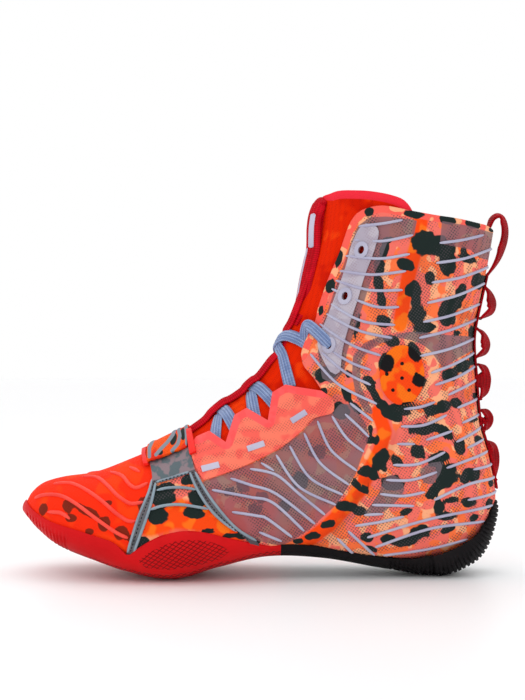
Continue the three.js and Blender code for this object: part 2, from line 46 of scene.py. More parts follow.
def fromPhoto(px, py):
    # a place in the picture as side-view x and z, in the plane down the middle of the shoe
    return ((photo["originX"] - px) * photo["pixel"], (photo["originY"] - py) * photo["pixel"])


def makeCamera():
    x, z = fromPhoto(photo["wide"] / 2, photo["tall"] / 2)
    camera = bpy.data.objects.new("camera", bpy.data.cameras.new("camera"))
    camera.data.lens = camera.data.sensor_width * photo["distance"] / (photo["tall"] * photo["pixel"])
    camera.location = (x, photo["distance"], z)
    camera.rotation_euler = (math.radians(90), 0, math.radians(180))
    bpy.context.scene.collection.objects.link(camera)
    bpy.context.scene.camera = camera


makeCamera()
print("camera placed")

# The form that every piece lies on
form = {
    "length": 0.292, "height": 0.238, "ball": 0.096,
    # toe first; for each section: top x z, base x z, half widths outer and inner, ridge, belly,
    # how square it is low and high, and the rubber under it in mm
    "sections": [
        (0.862, 0.188, 0.864, 0.161, 0.021, 0.146, -0.062, 0.45, 2.2, 2.2, 2.0),
        (0.851, 0.210, 0.851, 0.146, 0.115, 0.240, -0.062, 0.42, 2.2, 2.2, 2.4),
        (0.828, 0.232, 0.826, 0.120, 0.229, 0.333, -0.055, 0.40, 2.3, 2.2, 3.2),
        (0.786, 0.247, 0.783, 0.091, 0.344, 0.406, -0.042, 0.38, 2.6, 2.2, 4.6),
        (0.718, 0.260, 0.711, 0.065, 0.438, 0.448, -0.032, 0.36, 2.9, 2.1, 6.0),
        (0.648, 0.292, 0.637, 0.036, 0.495, 0.474, -0.026, 0.34, 3.0, 2.0, 6.0),
        (0.573, 0.333, 0.546, 0.021, 0.521, 0.479, -0.021, 0.32, 3.0, 1.9, 6.6),
        (0.503, 0.385, 0.452, 0.042, 0.510, 0.448, -0.021, 0.29, 3.0, 1.85, 4.4),
        (0.439, 0.448, 0.350, 0.059, 0.458, 0.401, -0.016, 0.26, 3.0, 1.8, 2.3),
        (0.389, 0.492, 0.234, 0.053, 0.401, 0.359, -0.010, 0.25, 3.0, 1.8, 2.3),
        (0.350, 0.550, 0.117, 0.031, 0.365, 0.349, 0.000, 0.25, 2.8, 1.85, 3.3),
        (0.323, 0.612, 0.000, 0.035, 0.354, 0.354, 0.000, 0.28, 2.6, 1.95, 9.6),
        (0.312, 0.637, -0.058, 0.050, 0.354, 0.354, 0.000, 0.31, 2.5, 1.95, 8.6),
        (0.305, 0.652, -0.090, 0.078, 0.354, 0.354, 0.000, 0.33, 2.4, 2.0, 7.4),
        (0.298, 0.672, -0.119, 0.130, 0.354, 0.354, 0.000, 0.36, 2.3, 2.0, 3.8),
        (0.285, 0.714, -0.131, 0.200, 0.359, 0.359, 0.000, 0.42, 2.2, 2.1, 2.2),
        (0.272, 0.760, -0.117, 0.302, 0.365, 0.365, 0.000, 0.48, 2.1, 2.1, 1.8),
        (0.261, 0.805, -0.096, 0.396, 0.370, 0.370, 0.000, 0.50, 2.0, 2.1, 1.8),
        (0.253, 0.846, -0.088, 0.505, 0.375, 0.375, 0.000, 0.50, 2.0, 2.1, 1.8),
        (0.246, 0.888, -0.083, 0.609, 0.380, 0.380, 0.000, 0.50, 2.0, 2.1, 1.8),
        (0.242, 0.927, -0.096, 0.698, 0.390, 0.390, 0.000, 0.50, 2.1, 2.1, 1.8),
        (0.238, 0.966, -0.110, 0.773, 0.400, 0.400, 0.000, 0.50, 2.1, 2.1, 1.8),
        (0.235, 1.003, -0.121, 0.844, 0.411, 0.411, 0.000, 0.50, 2.1, 2.1, 1.8),
        (0.232, 1.039, -0.130, 0.911, 0.417, 0.417, 0.000, 0.50, 2.1, 2.1, 1.8),
    ],
}
lastSection = len(form["sections"]) - 1
heelSection = 11  # from here on the rubber also covers the back
middleStrip = 0.004  # no crease reaches closer to the middle of the shoe


def curveThrough(p, q, r, s, f):
    # a smooth curve at the share f of the way from q to r, where p and s are the points beyond them
    return (2 * q + (r - p) * f + (2 * p - 5 * q + 4 * r - s) * f * f
            + (3 * q - p - 3 * r + s) * f * f * f) / 2


def sectionAt(u):
    # section values between the rows, on a smooth curve through them
    row = min(max(int(math.floor(u)), 0), lastSection - 1)
    f = u - row
    rows = [form["sections"][min(max(row + k, 0), lastSection)] for k in (-1, 0, 1, 2)]
    return [curveThrough(*column, f) for column in zip(*rows)]


def formPoint(u, v):
    topX, topZ, baseX, baseZ, outer, inner, ridge, belly, low, high, _ = sectionAt(u)
    angle = v * math.tau
    power = 2 / (low if math.cos(angle) > 0 else high)
    along = abs(math.cos(angle)) ** power
    across = math.copysign(abs(math.sin(angle)) ** power, math.sin(angle))
    t = belly * (1 - along) if math.cos(angle) > 0 else belly + (1 - belly) * along
    half = outer - ridge if across > 0 else inner + ridge
    return Vector(((baseX + (topX - baseX) * t) * form["length"],
                   (ridge + across * half) * form["ball"],
                   (baseZ + (topZ - baseZ) * t) * form["height"]))


def formNormal(u, v):
    alongU = formPoint(min(u + 0.05, lastSection), v) - formPoint(max(u - 0.05, 0), v)
    alongV = formPoint(u, v + 0.004) - formPoint(u, v - 0.004)
    return alongU.cross(alongV).normalized()


def skinPoint(u, v, offset=0.0):
    return formPoint(u, v) + formNormal(u, v) * offset


# Creases of the soft upper: a line in the side view as photo pixels, half width and depth in metres.
# A depth over zero is a trough, and under zero a swelling.
creases = [
    {"line": [(395, 425), (388, 440), (378, 455), (364, 478), (348, 505), (325, 528), (300, 546)],
     "half": 0.0042, "depth": 0.0016},
    {"line": [(411, 400), (404, 425), (392, 447), (376, 474), (360, 502), (338, 528)],
     "half": 0.0040, "depth": -0.0010},
    {"line": [(383, 420), (372, 446), (352, 476), (330, 505), (306, 526)], "half": 0.0040, "depth": -0.0009},
    {"line": [(322, 390), (340, 402), (356, 420), (366, 440)], "half": 0.0036, "depth": 0.0011},
    {"line": [(425, 235), (412, 262), (402, 300), (398, 330)], "half": 0.0070, "depth": 0.0009},
    {"line": [(440, 300), (462, 318), (479, 322)], "half": 0.0050, "depth": 0.0009},
    {"line": [(438, 398), (458, 396), (478, 386)], "half": 0.0045, "depth": 0.0009},
    {"line": [(128, 462), (133, 480), (131, 503), (124, 528)], "half": 0.0036, "depth": 0.0006},
]
creaseReach = 3  # half widths out to which a crease is felt


def pointOnLine(line, x, z, far=1.0):
    # distance from a side-view place to a line, and how far along the line from 0 to 1
    best = (far, 0.0)
    count = len(line) - 1
    for i in range(count):
        ax, az = line[i]
        bx, bz = line[i + 1]
        dx, dz = bx - ax, bz - az
        share = min(max(((x - ax) * dx + (z - az) * dz) / (dx * dx + dz * dz), 0), 1)
        distance = math.hypot(x - ax - dx * share, z - az - dz * share)
        if distance < best[0]:
            best = (distance, (i + share) / count)
    return best


def creaseDepth(point):
    total = 0.0
    for crease in creases:
        low, high = crease["reach"]
        if not (low[0] < point.x < high[0] and low[1] < point.z < high[1]):
            continue
        distance, along = pointOnLine(crease["places"], point.x, point.z)
        if distance < crease["half"] * creaseReach:
            fade = math.sin(math.pi * along) ** 0.5 if 0 < along < 1 else 0.0
            total += crease["depth"] * fade * math.exp(-(distance / crease["half"]) ** 2)
    return total


for crease in creases:
    crease["places"] = [fromPhoto(px, py) for px, py in crease["line"]]
    xs = [x for x, z in crease["places"]]
    zs = [z for x, z in crease["places"]]
    margin = crease["half"] * creaseReach
    crease["reach"] = ((min(xs) - margin, min(zs) - margin), (max(xs) + margin, max(zs) + margin))


def placeMesh(name, mesh, nodes):
    piece = bpy.data.objects.new(name, mesh)
    bpy.context.scene.collection.objects.link(piece)
    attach(piece, "root")
    if nodes:
        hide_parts(*nodes)
    return piece


def finishObject(name, bm, nodes, material, smoothAngle=40):
    mesh = bpy.data.meshes.new(name)
    bm.to_mesh(mesh)
    bm.free()
    mesh.materials.append(material)
    mesh.shade_smooth()
    mesh.set_sharp_from_angle(angle=math.radians(smoothAngle))
    return placeMesh(name, mesh, nodes)


def mappedGrid(alongCount, aroundCount, place, closed=False):
    # a plain grid from 0 to 1 each way, carried to its place in the shoe
    bm = bmesh.new()
    bmesh.ops.create_grid(bm, x_segments=alongCount, y_segments=aroundCount, size=0.5)
    for vert in bm.verts:
        vert.co = place(vert.co.x + 0.5, vert.co.y + 0.5)
    if closed:
        bmesh.ops.remove_doubles(bm, verts=bm.verts, dist=0.00002)
    bmesh.ops.recalc_face_normals(bm, faces=bm.faces)
    return bm


def smoothLine(points, spacing, closed=False, corners=()):
    # points joined by a smooth curve and set out evenly; it turns sharply at the listed corners
    count = len(points)
    result = []
    spans = count if closed else count - 1
    for i in range(spans):
        q, r = Vector(points[i]), Vector(points[(i + 1) % count])
        p = Vector(points[(i - 1) % count]) if closed or i > 0 else q
        s = Vector(points[(i + 2) % count]) if closed or i + 2 < count else r
        if i in corners:
            p = q
        if (i + 1) % count in corners:
            s = r
        steps = max(1, int(round((r - q).length / spacing)))
        for k in range(steps):
            result.append(curveThrough(p, q, r, s, k / steps))
    if not closed:
        result.append(Vector(points[-1]))
    return result


def insideOutline(outline, x, z):
    inside = False
    j = len(outline) - 1
    for i in range(len(outline)):
        ax, az = outline[i][0], outline[i][1]
        bx, bz = outline[j][0], outline[j][1]
        if (az > z) != (bz > z) and x < (bx - ax) * (z - az) / (bz - az) + ax:
            inside = not inside
        j = i
    return inside


def cutByOutline(bm, outline, keepInside):
    # cuts crisp edges along a side-view outline, then deletes the faces on one side of it
    count = len(outline)
    reach = 0.006
    for i in range(count):
        a, b = outline[i], outline[(i + 1) % count]
        run = Vector((b[0] - a[0], 0, b[1] - a[1]))
        if run.length < 1e-7:
            continue
        lowX, highX = min(a[0], b[0]) - 1e-5, max(a[0], b[0]) + 1e-5
        lowZ, highZ = min(a[1], b[1]) - 1e-5, max(a[1], b[1]) + 1e-5
        near = []
        for face in bm.faces:
            corner = face.verts[0].co
            if not (lowX - reach < corner.x < highX + reach and lowZ - reach < corner.z < highZ + reach):
                continue
            xs = [v.co.x for v in face.verts]
            zs = [v.co.z for v in face.verts]
            if max(xs) >= lowX and min(xs) <= highX and max(zs) >= lowZ and min(zs) <= highZ:
                near.append(face)
        if near:
            geom = near + list({e for f in near for e in f.edges}) + list({v for f in near for v in f.verts})
            across = Vector((-run.z, 0, run.x)).normalized()
            bmesh.ops.bisect_plane(bm, geom=geom, dist=1e-6, plane_co=Vector((a[0], 0, a[1])),
                                   plane_no=across)
    drop = []
    for face in bm.faces:
        center = face.calc_center_median()
        if insideOutline(outline, center.x, center.z) != keepInside:
            drop.append(face)
    bmesh.ops.delete(bm, geom=drop, context="FACES")


def creasedForm(along, around):
    # the whole form as a tube, with the creases pressed into it
    bm = mappedGrid(along, around, lambda a, b: formPoint(a * lastSection, b), closed=True)
    for vert in bm.verts:
        vert.normal_update()
    depths = [(vert, creaseDepth(vert.co)) for vert in bm.verts if abs(vert.co.y) > middleStrip]
    for vert, depth in depths:
        vert.co -= vert.normal * depth
    return bm


formMesh = creasedForm(along=230, around=144)
formTree = BVHTree.FromBMesh(formMesh)
print("form ready:", len(formMesh.verts), "points")

cameraPlace = bpy.context.scene.camera.location.copy()


def fromSide(x, z, side=1, lift=0.0):
    # the place and normal on the form that is seen at x and z from the outer (1) or inner (-1) side
    hit, normal, _, _ = formTree.ray_cast(Vector((x, side * 0.2, z)), Vector((0, -side, 0)))
    if hit is None:
        hit, normal, _, _ = formTree.find_nearest(Vector((x, 0, z)))
    if normal.y * side < 0:
        normal = -normal
    return hit + normal * lift, normal


def seenAt(px, py):
    # side-view x and z of the place on the outer side that the camera sees at a photo pixel
    x, z = fromPhoto(px, py)
    ray = Vector((x, 0, z)) - cameraPlace
    hit, normal, _, _ = formTree.ray_cast(cameraPlace, ray.normalized())
    if hit is None:
        return (x, z)
    return (hit.x, hit.z)


def seenLine(pixels):
    return [seenAt(px, py) for px, py in pixels]


def pixelOf(point):
    # the photo pixel of a place on the outer side, or of its mirror image
    near = photo["distance"] - abs(point.y)
    scale = photo["distance"] / near
    px = photo["wide"] / 2 + (cameraPlace.x - point.x) * scale / photo["pixel"]
    py = photo["tall"] / 2 + (cameraPlace.z - point.z) * scale / photo["pixel"]
    return px, py


def flatPairs(points):
    return [(p[0], p[1]) for p in points]


def seenCurve(pixels, corners=()):
    return flatPairs(smoothLine(seenLine(pixels), 0.003, corners=corners))


def evenOutline(pixels, spacing=0.002, corners=()):
    return smoothLine(seenLine(pixels), spacing, closed=True, corners=corners)


def ovalHole(px, py, wide, tall, turn=0.0, count=18):
    places = []
    for i in range(count):
        angle = math.tau * i / count
        x, y = wide * math.cos(angle), tall * math.sin(angle)
        c, s = math.cos(turn), math.sin(turn)
        places.append((px + x * c - y * s, py + x * s + y * c))
    return places


# Eyelets: places and half sizes in photo pixels, turn in radians
eyelets = {"places": [(362, 250), (346, 296), (330, 345)], "out": (6.6, 8.6), "hole": (2.9, 4.2), "turn": 0.3}
upperSizes = {
    "along": 236, "around": 198, "wall": 0.002,
    # edge of the throat, the shaft and the collar as photo pixels, front to back
    "opening": [
        (186, 431), (190, 441), (197, 438), (210, 432), (226, 443), (235, 416), (247, 409), (268, 421),
        (273, 393), (286, 385), (296, 387), (322, 391), (313, 377), (305, 368), (302, 361), (301, 354),
        (305, 341), (315, 321), (318, 308), (325, 287), (331, 272), (340, 250.6), (347, 230), (353, 218),
        (362, 210), (382, 205.5), (411, 210.5), (436, 215), (456, 218), (476, 222.5), (488, 226),
        (494, 233)],
    "beyond": [(-0.10, 0.2095), (-0.10, 0.40), (0.35, 0.40), (0.35, 0.12), (0.175, 0.105)],
}


def openingOutline():
    return seenCurve(upperSizes["opening"], corners=(1, 4, 5, 7, 8, 11)) + upperSizes["beyond"]


def cutUpper():
    sizes = upperSizes
    bm = creasedForm(sizes["along"], sizes["around"])
    toe = [edge for edge in bm.edges if edge.is_boundary and edge.verts[0].co.x > 0.24]
    bmesh.ops.holes_fill(bm, edges=toe, sides=0)
    cutByOutline(bm, openingOutline(), keepInside=False)
    for x, y in eyelets["places"]:
        hole = evenOutline(ovalHole(x, y, *eyelets["hole"], eyelets["turn"]), 0.0006)
        cutByOutline(bm, flatPairs(hole), keepInside=False)
    return bm


upperShape = cutUpper()
print("upper cut:", len(upperShape.faces), "faces")


# Materials. Patterns read Object coordinates, so they lie still on the shoe from every side.
def newMaterial(name):
    material = bpy.data.materials.new(name)
    material.use_nodes = True
    tree = material.node_tree
    shader = tree.nodes["Principled BSDF"]
    return material, tree, shader


def addNode(tree, kind, inputs=None, **settings):
    node = tree.nodes.new(kind)
    for key, value in settings.items():
        setattr(node, key, value)
    for key, value in (inputs or {}).items():
        if isinstance(value, bpy.types.NodeSocket):
            tree.links.new(value, node.inputs[key])
        else:
            node.inputs[key].default_value = value
    return node


def objectPlace(tree, scale=(1, 1, 1), turn=(0, 0, 0), shift=(0, 0, 0)):
    place = addNode(tree, "ShaderNodeTexCoord").outputs["Object"]
    return addNode(tree, "ShaderNodeMapping", {
        "Vector": place, "Scale": scale, "Rotation": turn, "Location": shift}).outputs["Vector"]


def uvPlace(tree, scale=(1, 1, 1)):
    place = addNode(tree, "ShaderNodeTexCoord")
    return addNode(tree, "ShaderNodeMapping", {
        "Vector": place.outputs["UV"], "Scale": scale}).outputs["Vector"]


def noiseOf(tree, place, scale, detail=2.0, roughness=0.5):
    return addNode(tree, "ShaderNodeTexNoise", {
        "Vector": place, "Scale": scale, "Detail": detail, "Roughness": roughness}).outputs["Fac"]


def cellsOf(tree, place, scale, feature="F1", randomness=1.0):
    return addNode(tree, "ShaderNodeTexVoronoi", {
        "Vector": place, "Scale": scale, "Randomness": randomness}, feature=feature).outputs["Distance"]


def step(tree, value, low, high):
    return addNode(tree, "ShaderNodeMapRange", {
        "Value": value, "From Min": low, "From Max": high}, interpolation_type="SMOOTHSTEP").outputs["Result"]


def sums(tree, kind, a, b=0.0, c=0.0):
    return addNode(tree, "ShaderNodeMath", {0: a, 1: b, 2: c}, operation=kind).outputs[0]


def mixColors(tree, share, a, b, blend="MIX"):
    node = addNode(tree, "ShaderNodeMix", data_type="RGBA", blend_type=blend)
    for index, value in ((0, share), (6, a), (7, b)):
        if isinstance(value, bpy.types.NodeSocket):
            tree.links.new(value, node.inputs[index])
        else:
            node.inputs[index].default_value = value
    return node.outputs[2]


def attributeOf(tree, name):
    return addNode(tree, "ShaderNodeAttribute", attribute_name=name, attribute_type="GEOMETRY").outputs["Fac"]


def roughen(tree, shader, height, strength, distance, base=None):
    inputs = {"Height": height, "Strength": strength, "Distance": distance}
    if base is not None:
        inputs["Normal"] = base
    bump = addNode(tree, "ShaderNodeBump", inputs).outputs["Normal"]
    tree.links.new(bump, shader.inputs["Normal"])
    return bump


def paint(tree, shader, color, roughness=None):
    tree.links.new(color, shader.inputs["Base Color"])
    if roughness is not None:
        tree.links.new(roughness, shader.inputs["Roughness"])


def setSurface(shader, roughness, gloss=0.5):
    shader.inputs["Roughness"].default_value = roughness
    shader.inputs["Specular IOR Level"].default_value = gloss


def shade(red, green, blue):
    # a screen colour from 0 to 255 as linear light
    channel = [value / 255 for value in (red, green, blue)]
    return tuple(c / 12.92 if c < 0.04045 else ((c + 0.055) / 1.055) ** 2.4 for c in channel) + (1.0,)


printColors = {
    "peach": shade(250, 172, 128), "orange": shade(252, 116, 64), "coral": shade(242, 112, 98),
    "dark": shade(26, 38, 36), "film": shade(108, 96, 104), "filmRed": shade(136, 82, 90),
    "vivid": shade(250, 72, 8), "vividSecond": shade(252, 112, 20), "binding": shade(248, 96, 84),
    "toe": shade(248, 42, 0), "toeSecond": shade(250, 60, 2), "toeDark": shade(124, 34, 14),
}


def meshHoles(tree, scale):
    # slanting rows of small holes, as in a warp knit, from 0 on the yarn to 1 in a hole
    slant = objectPlace(tree, scale=(1, 0.35, 1), turn=(0, 0.6, 0))
    cells = cellsOf(tree, slant, scale, randomness=0.12)
    return step(tree, cells, 0.42, 0.24)


def makePrintMaterial():
    material, tree, shader = newMaterial("printed mesh")
    place = objectPlace(tree)
    flat = objectPlace(tree, scale=(1, 0.35, 1))
    wander = sums(tree, "SUBTRACT", noiseOf(tree, place, 210, 1.0), 0.5)
    edge = sums(tree, "MULTIPLY", wander, 0.16)
    peachPatch = step(tree, sums(tree, "ADD", noiseOf(tree, flat, 104, 1.0), edge), 0.50, 0.54)
    coralNoise = noiseOf(tree, objectPlace(tree, shift=(3.1, 1.7, 0.6)), 112, 1.0)
    coralPatch = step(tree, sums(tree, "ADD", coralNoise, edge), 0.485, 0.525)
    color = mixColors(tree, peachPatch, printColors["orange"], printColors["peach"])
    color = mixColors(tree, coralPatch, color, printColors["coral"])
    vivid = step(tree, attributeOf(tree, "vivid"), 0.38, 0.6)
    vividColor = mixColors(tree, step(tree, noiseOf(tree, flat, 110, 1.0), 0.5, 0.6), printColors["vivid"],
                           printColors["vividSecond"])
    color = mixColors(tree, vivid, color, vividColor)
    binding = step(tree, attributeOf(tree, "binding"), 0.54, 0.48)
    bindingColor = mixColors(tree, step(tree, noiseOf(tree, flat, 120, 1.0), 0.52, 0.56),
                             printColors["binding"], printColors["peach"])
    color = mixColors(tree, binding, color, bindingColor)
    # painted shade: the print is darkened along the crease troughs, more where the crease is deeper
    creaseShade = sums(tree, "MULTIPLY", attributeOf(tree, "hollow"), 0.4)
    color = mixColors(tree, creaseShade, color, shade(140, 40, 20))
    blotch = sums(tree, "MULTIPLY_ADD", wander, 0.42, attributeOf(tree, "blotch"))
    color = mixColors(tree, step(tree, blotch, 0.40, 0.47), color, printColors["dark"])
    toeColor = mixColors(tree, step(tree, noiseOf(tree, flat, 60, 1.0), 0.50, 0.58),
                         printColors["toe"], printColors["toeSecond"])
    toeColor = mixColors(tree, step(tree, blotch, 0.40, 0.5), toeColor, printColors["toeDark"])
    toe = step(tree, attributeOf(tree, "toe"), 0.46, 0.54)
    color = mixColors(tree, toe, color, toeColor)
    film = step(tree, attributeOf(tree, "film"), 0.46, 0.54)
    filmColor = mixColors(tree, step(tree, noiseOf(tree, flat, 30, 1.0), 0.42, 0.6), printColors["film"],
                          printColors["filmRed"])
    color = mixColors(tree, sums(tree, "MULTIPLY", film, 0.8), color, filmColor)
    holes = meshHoles(tree, 660)
    plain = sums(tree, "MAXIMUM", binding, sums(tree, "MAXIMUM", vivid, sums(tree, "MULTIPLY", toe, 0.7)))
    shown = sums(tree, "SUBTRACT", sums(tree, "MULTIPLY_ADD", film, 0.12, 0.72), plain)
    share = sums(tree, "MULTIPLY", holes, shown)
    color = mixColors(tree, sums(tree, "MAXIMUM", share, 0.0), color, shade(72, 66, 70))
    roughness = sums(tree, "SUBTRACT", 0.8, sums(tree, "MULTIPLY", film, 0.34))
    paint(tree, shader, color, roughness)
    shader.inputs["Specular IOR Level"].default_value = 0.15
    roughen(tree, shader, holes, 0.35, 0.0004)
    return material


# Film panels over the printed mesh, as photo pixels
filmPanels = [
    # midfoot
    [(202, 482), (231, 472), (258, 461), (282, 448), (302, 432), (315, 418), (331, 414), (340, 404),
     (352, 404), (366, 424), (369, 437), (363, 453), (357, 471), (349, 485), (343, 495), (336, 505),
     (326, 514), (310, 529), (292, 541), (281, 546), (258, 541), (237, 528), (220, 510), (206, 490)],
    # top of the lace facing
    [(358, 226), (370, 217), (387, 216.5), (417, 220), (414, 235.5), (395, 238), (387, 243), (380, 262),
     (371, 281), (362, 308), (354, 332), (347, 352), (344, 372), (332, 384), (322, 378), (318, 352),
     (319, 335), (326, 315), (340, 275), (350, 246)],
    # top of the heel quarter, behind the disc, and low on the heel quarter
    [(442, 221), (470, 226), (496, 234), (496, 262), (480, 258), (470, 249.5), (440, 243.5)],
    [(393, 334), (413, 331.5), (430, 333), (447, 335), (472, 336.5), (474, 350), (460, 357), (443, 368),
     (437, 360), (431, 351), (423, 345), (411, 340), (397, 338)],
    [(384, 479), (392, 474), (402, 480), (405, 491), (395, 503), (384, 512), (368, 516), (364, 513),
     (372, 504), (379, 493)],
    [(419, 470), (430, 463), (444, 461), (440, 474), (433, 484), (424, 484)],
    # curved band before the disc
    [(352, 374), (353, 356), (364, 343), (378, 337), (392, 334), (394, 339), (382, 343), (370, 350),
     (361, 360), (360, 385), (368, 402), (374, 414), (366, 414), (356, 396)],
]
# Bands of plain bright orange: a line of photo pixels and its half width
vividBands = [
    ([(378, 412), (385, 432), (380, 450), (370, 470), (360, 490), (345, 508), (328, 526), (305, 543)], 7),
    ([(150, 522), (175, 514), (205, 517), (232, 530)], 15),
    ([(421, 221), (418, 240), (412, 262), (407, 283), (403, 305), (400, 325)], 7)]
# Dark blotches of the print, with one painted shadow among them: photo pixel, half width and half height in
# pixels, turn in degrees
darkBlotches = [
    # rim of the collar and of the shaft's front
    (369, 212, 4, 4.5, 15), (415, 214.5, 9, 3.5, 8), (448, 220, 8, 4, 12), (472.4, 224.5, 7, 3.5, 14),
    (338.7, 258.7, 3, 8, 12), (330.7, 286, 4.5, 6.5, 12), (321, 310.7, 2.5, 5, 12), (491, 230, 3, 2, 30),
    # upper shaft
    (424, 243, 12, 11, 0), (441, 246, 14, 9, 20), (447.5, 261, 7.5, 14, 0), (466.7, 258.3, 9, 4, 20),
    (463.3, 251.7, 3, 5, 0), (406, 265, 8.5, 5.5, 15), (430, 278.3, 4.5, 6, 0), (413.5, 289.5, 7.5, 7.5, 0),
    (416, 302, 4.5, 7, 0), (417.3, 314.5, 8, 8, 0), (479.3, 281, 6.5, 7, 0), (461.5, 292, 5, 8, 25),
    (451, 306, 11, 7, -35), (446.7, 319, 7.5, 7, 0), (388, 240, 6, 3, -15), (384.5, 250, 4, 10, 12),
    (379.5, 267, 5, 8, 12), (378.5, 284, 4.5, 8, -12), (381.5, 300, 4, 8, -8), (384, 321, 6.5, 6, 0),
    # around the vent disc
    # the first blotch on the next line, beside the facing strip's edge, is a painted shadow cast by the strip
    (357, 327, 2.5, 13, 14), (391.5, 341, 7, 5.5, 0), (371, 344, 8, 2.5, -35), (425, 328, 11, 4.5, -10),
    (472, 332.7, 3.5, 6, 0), (456.7, 333, 3.5, 3, 0), (463, 366, 8, 5.5, -30), (450, 375, 7.5, 5.5, -10),
    (472, 358.7, 3, 6, 0), (368.7, 382, 6, 5.5, 0), (374, 393, 3.5, 9, -25), (381, 406, 3.5, 8, -35),
    (348, 374, 4, 3, 0), (346, 394, 4, 7, -30), (338.7, 409, 7, 6.5, 0), (324.7, 374, 11, 7, -15),
    (323.3, 391.3, 3.5, 3.5, 0),
    (386.7, 363.3, 7.5, 9.5, 0), (414, 353, 6, 10, -22), (418.7, 381, 7.5, 6.5, 0),
    # heel quarter
    (433, 410.5, 10, 5.5, -25), (444, 406, 9, 5.5, -15), (456, 402.5, 5.5, 5, 0), (398, 410, 12, 5.5, 5),
    (410.7, 404.7, 10, 3, 5), (388, 413, 7, 5, 35), (396, 416.5, 6.5, 4.5, 30), (382.7, 404, 3.5, 7, -40),
    (475.3, 396, 3, 3, 0), (422.7, 428.7, 14, 5.5, -5), (438.7, 429, 12, 4, 15), (448, 435.3, 5, 4, 0),
    (418, 451.3, 6.5, 6.5, 0), (397.5, 461.5, 5, 6, -30), (384, 457, 5, 7, 0), (383.3, 466, 3, 4, 0),
    (438.7, 458.7, 10, 6, -30), (447, 475, 10, 11, 0), (437.5, 487, 13, 4.5, -40), (433, 492.5, 8, 4, -40),
    (460, 446.7, 5.5, 7, 0), (478, 439.3, 4, 4, 0), (472, 474.7, 9, 6.5, 0), (465.3, 478.7, 5, 4.5, 0),
    (468.7, 502.7, 7, 4.5, 0), (450.7, 500, 8, 2.5, -8), (438.7, 507, 5, 7, 0), (447, 516, 9, 4, 0),
    (405.3, 512, 7, 2.8, -20), (490.7, 482.7, 2.5, 4, 0), (489, 504, 3, 5, 20), (473, 420, 5, 2.5, -20),
    (420, 532, 9, 6.5, -10), (405, 542, 12, 4, -10), (388, 539, 7, 4.5, 0), (367, 537, 6, 4.5, 0),
    (372, 549, 6, 2.5, 20), (448, 529, 7, 3.5, -20), (474, 518, 5, 3, -30),
    # flex band and midfoot
    (341, 411.3, 8, 7, 0), (356, 408, 3.5, 7, -40), (370.7, 428.7, 3.5, 3, 0), (372, 440, 8.5, 3.5, -8),
    (380, 459, 6, 11, 28), (367, 471.5, 8, 5.5, 0), (373, 474.5, 5, 4, 0), (356, 484, 3.5, 7, -45),
    (365.3, 490, 5, 4, 0), (346.7, 506.5, 11, 4.5, 5), (358.7, 511, 7, 4.5, 10), (392, 483, 11, 7, 0),
    (328, 524, 7, 3.5, -20), (312, 536, 7, 3.5, -10), (298, 541, 5, 2.5, 0), (241, 536, 7, 3, 10),
    (255, 541, 6, 2.5, 8), (243, 487, 7, 5, 20), (262, 497, 6, 6, 0), (255, 509, 7, 4, 10),
    (285, 505, 6, 7, 20), (300, 480, 8, 8, 0), (318, 452, 8, 6, 0), (228, 492, 5, 4, 0),
    # mesh window of the saddle
    (166, 488, 9, 5, 0), (188, 480, 6, 5, 0), (163, 498, 10, 8, 0), (199, 498, 10, 7.5, 10),
    (157, 516, 10, 7, 0), (194, 513, 10, 5.5, 0), (140, 542.5, 8, 6, 0), (208, 531, 6, 2.5, 0),
    (228, 536, 5, 2.5, 0),
    # strap roll
    (173.5, 439, 3, 6, 15), (183, 434, 2.5, 6, 0), (160, 452, 3, 3, 0),
    # toe
    (43.3, 509, 3.8, 5.5, 0), (68, 506.5, 4.5, 7, 0), (86, 510.5, 16, 3.8, 26), (104, 524, 6, 7, 0),
    (121, 533, 7, 6.5, 0), (71, 518, 5.5, 3.5, 0), (89, 531.5, 4, 3.2, 0), (108, 503, 4, 3, 0),
    (143, 506, 5, 9, 0), (130, 538, 5, 3, 20),
]
toeEdge = [(20, 425), (150, 425), (153, 478), (149, 492), (138, 517), (128, 545), (126, 580), (0, 580),
(0, 440)]


def depthInside(outline, px, py, reach):
    # 1 well inside an outline, 0 well outside it and 0.5 on its edge
    xs = [p[0] for p in outline]
    ys = [p[1] for p in outline]
    if px < min(xs) - reach or px > max(xs) + reach or py < min(ys) - reach or py > max(ys) + reach:
        return 0.0
    distance, _ = pointOnLine(outline + outline[:1], px, py, 2 * reach)
    distance = min(distance, reach) * (1 if insideOutline(outline, px, py) else -1)
    return 0.5 + 0.5 * distance / reach


vents = [(402, 363.5), (416, 374), (387, 374), (402, 378), (393, 390), (409, 390)]


def blotchAt(px, py):
    best = 0.0
    for x, y, wide, tall, turn in darkBlotches:
        dx, dy = px - x, py - y
        if abs(dx) + abs(dy) > 40:
            continue
        c, s = math.cos(math.radians(turn)), math.sin(math.radians(turn))
        reach = math.hypot((dx * c + dy * s) / wide, (dy * c - dx * s) / tall)
        best = max(best, 1 - 0.5 * reach)
    return max(best, 0.0)


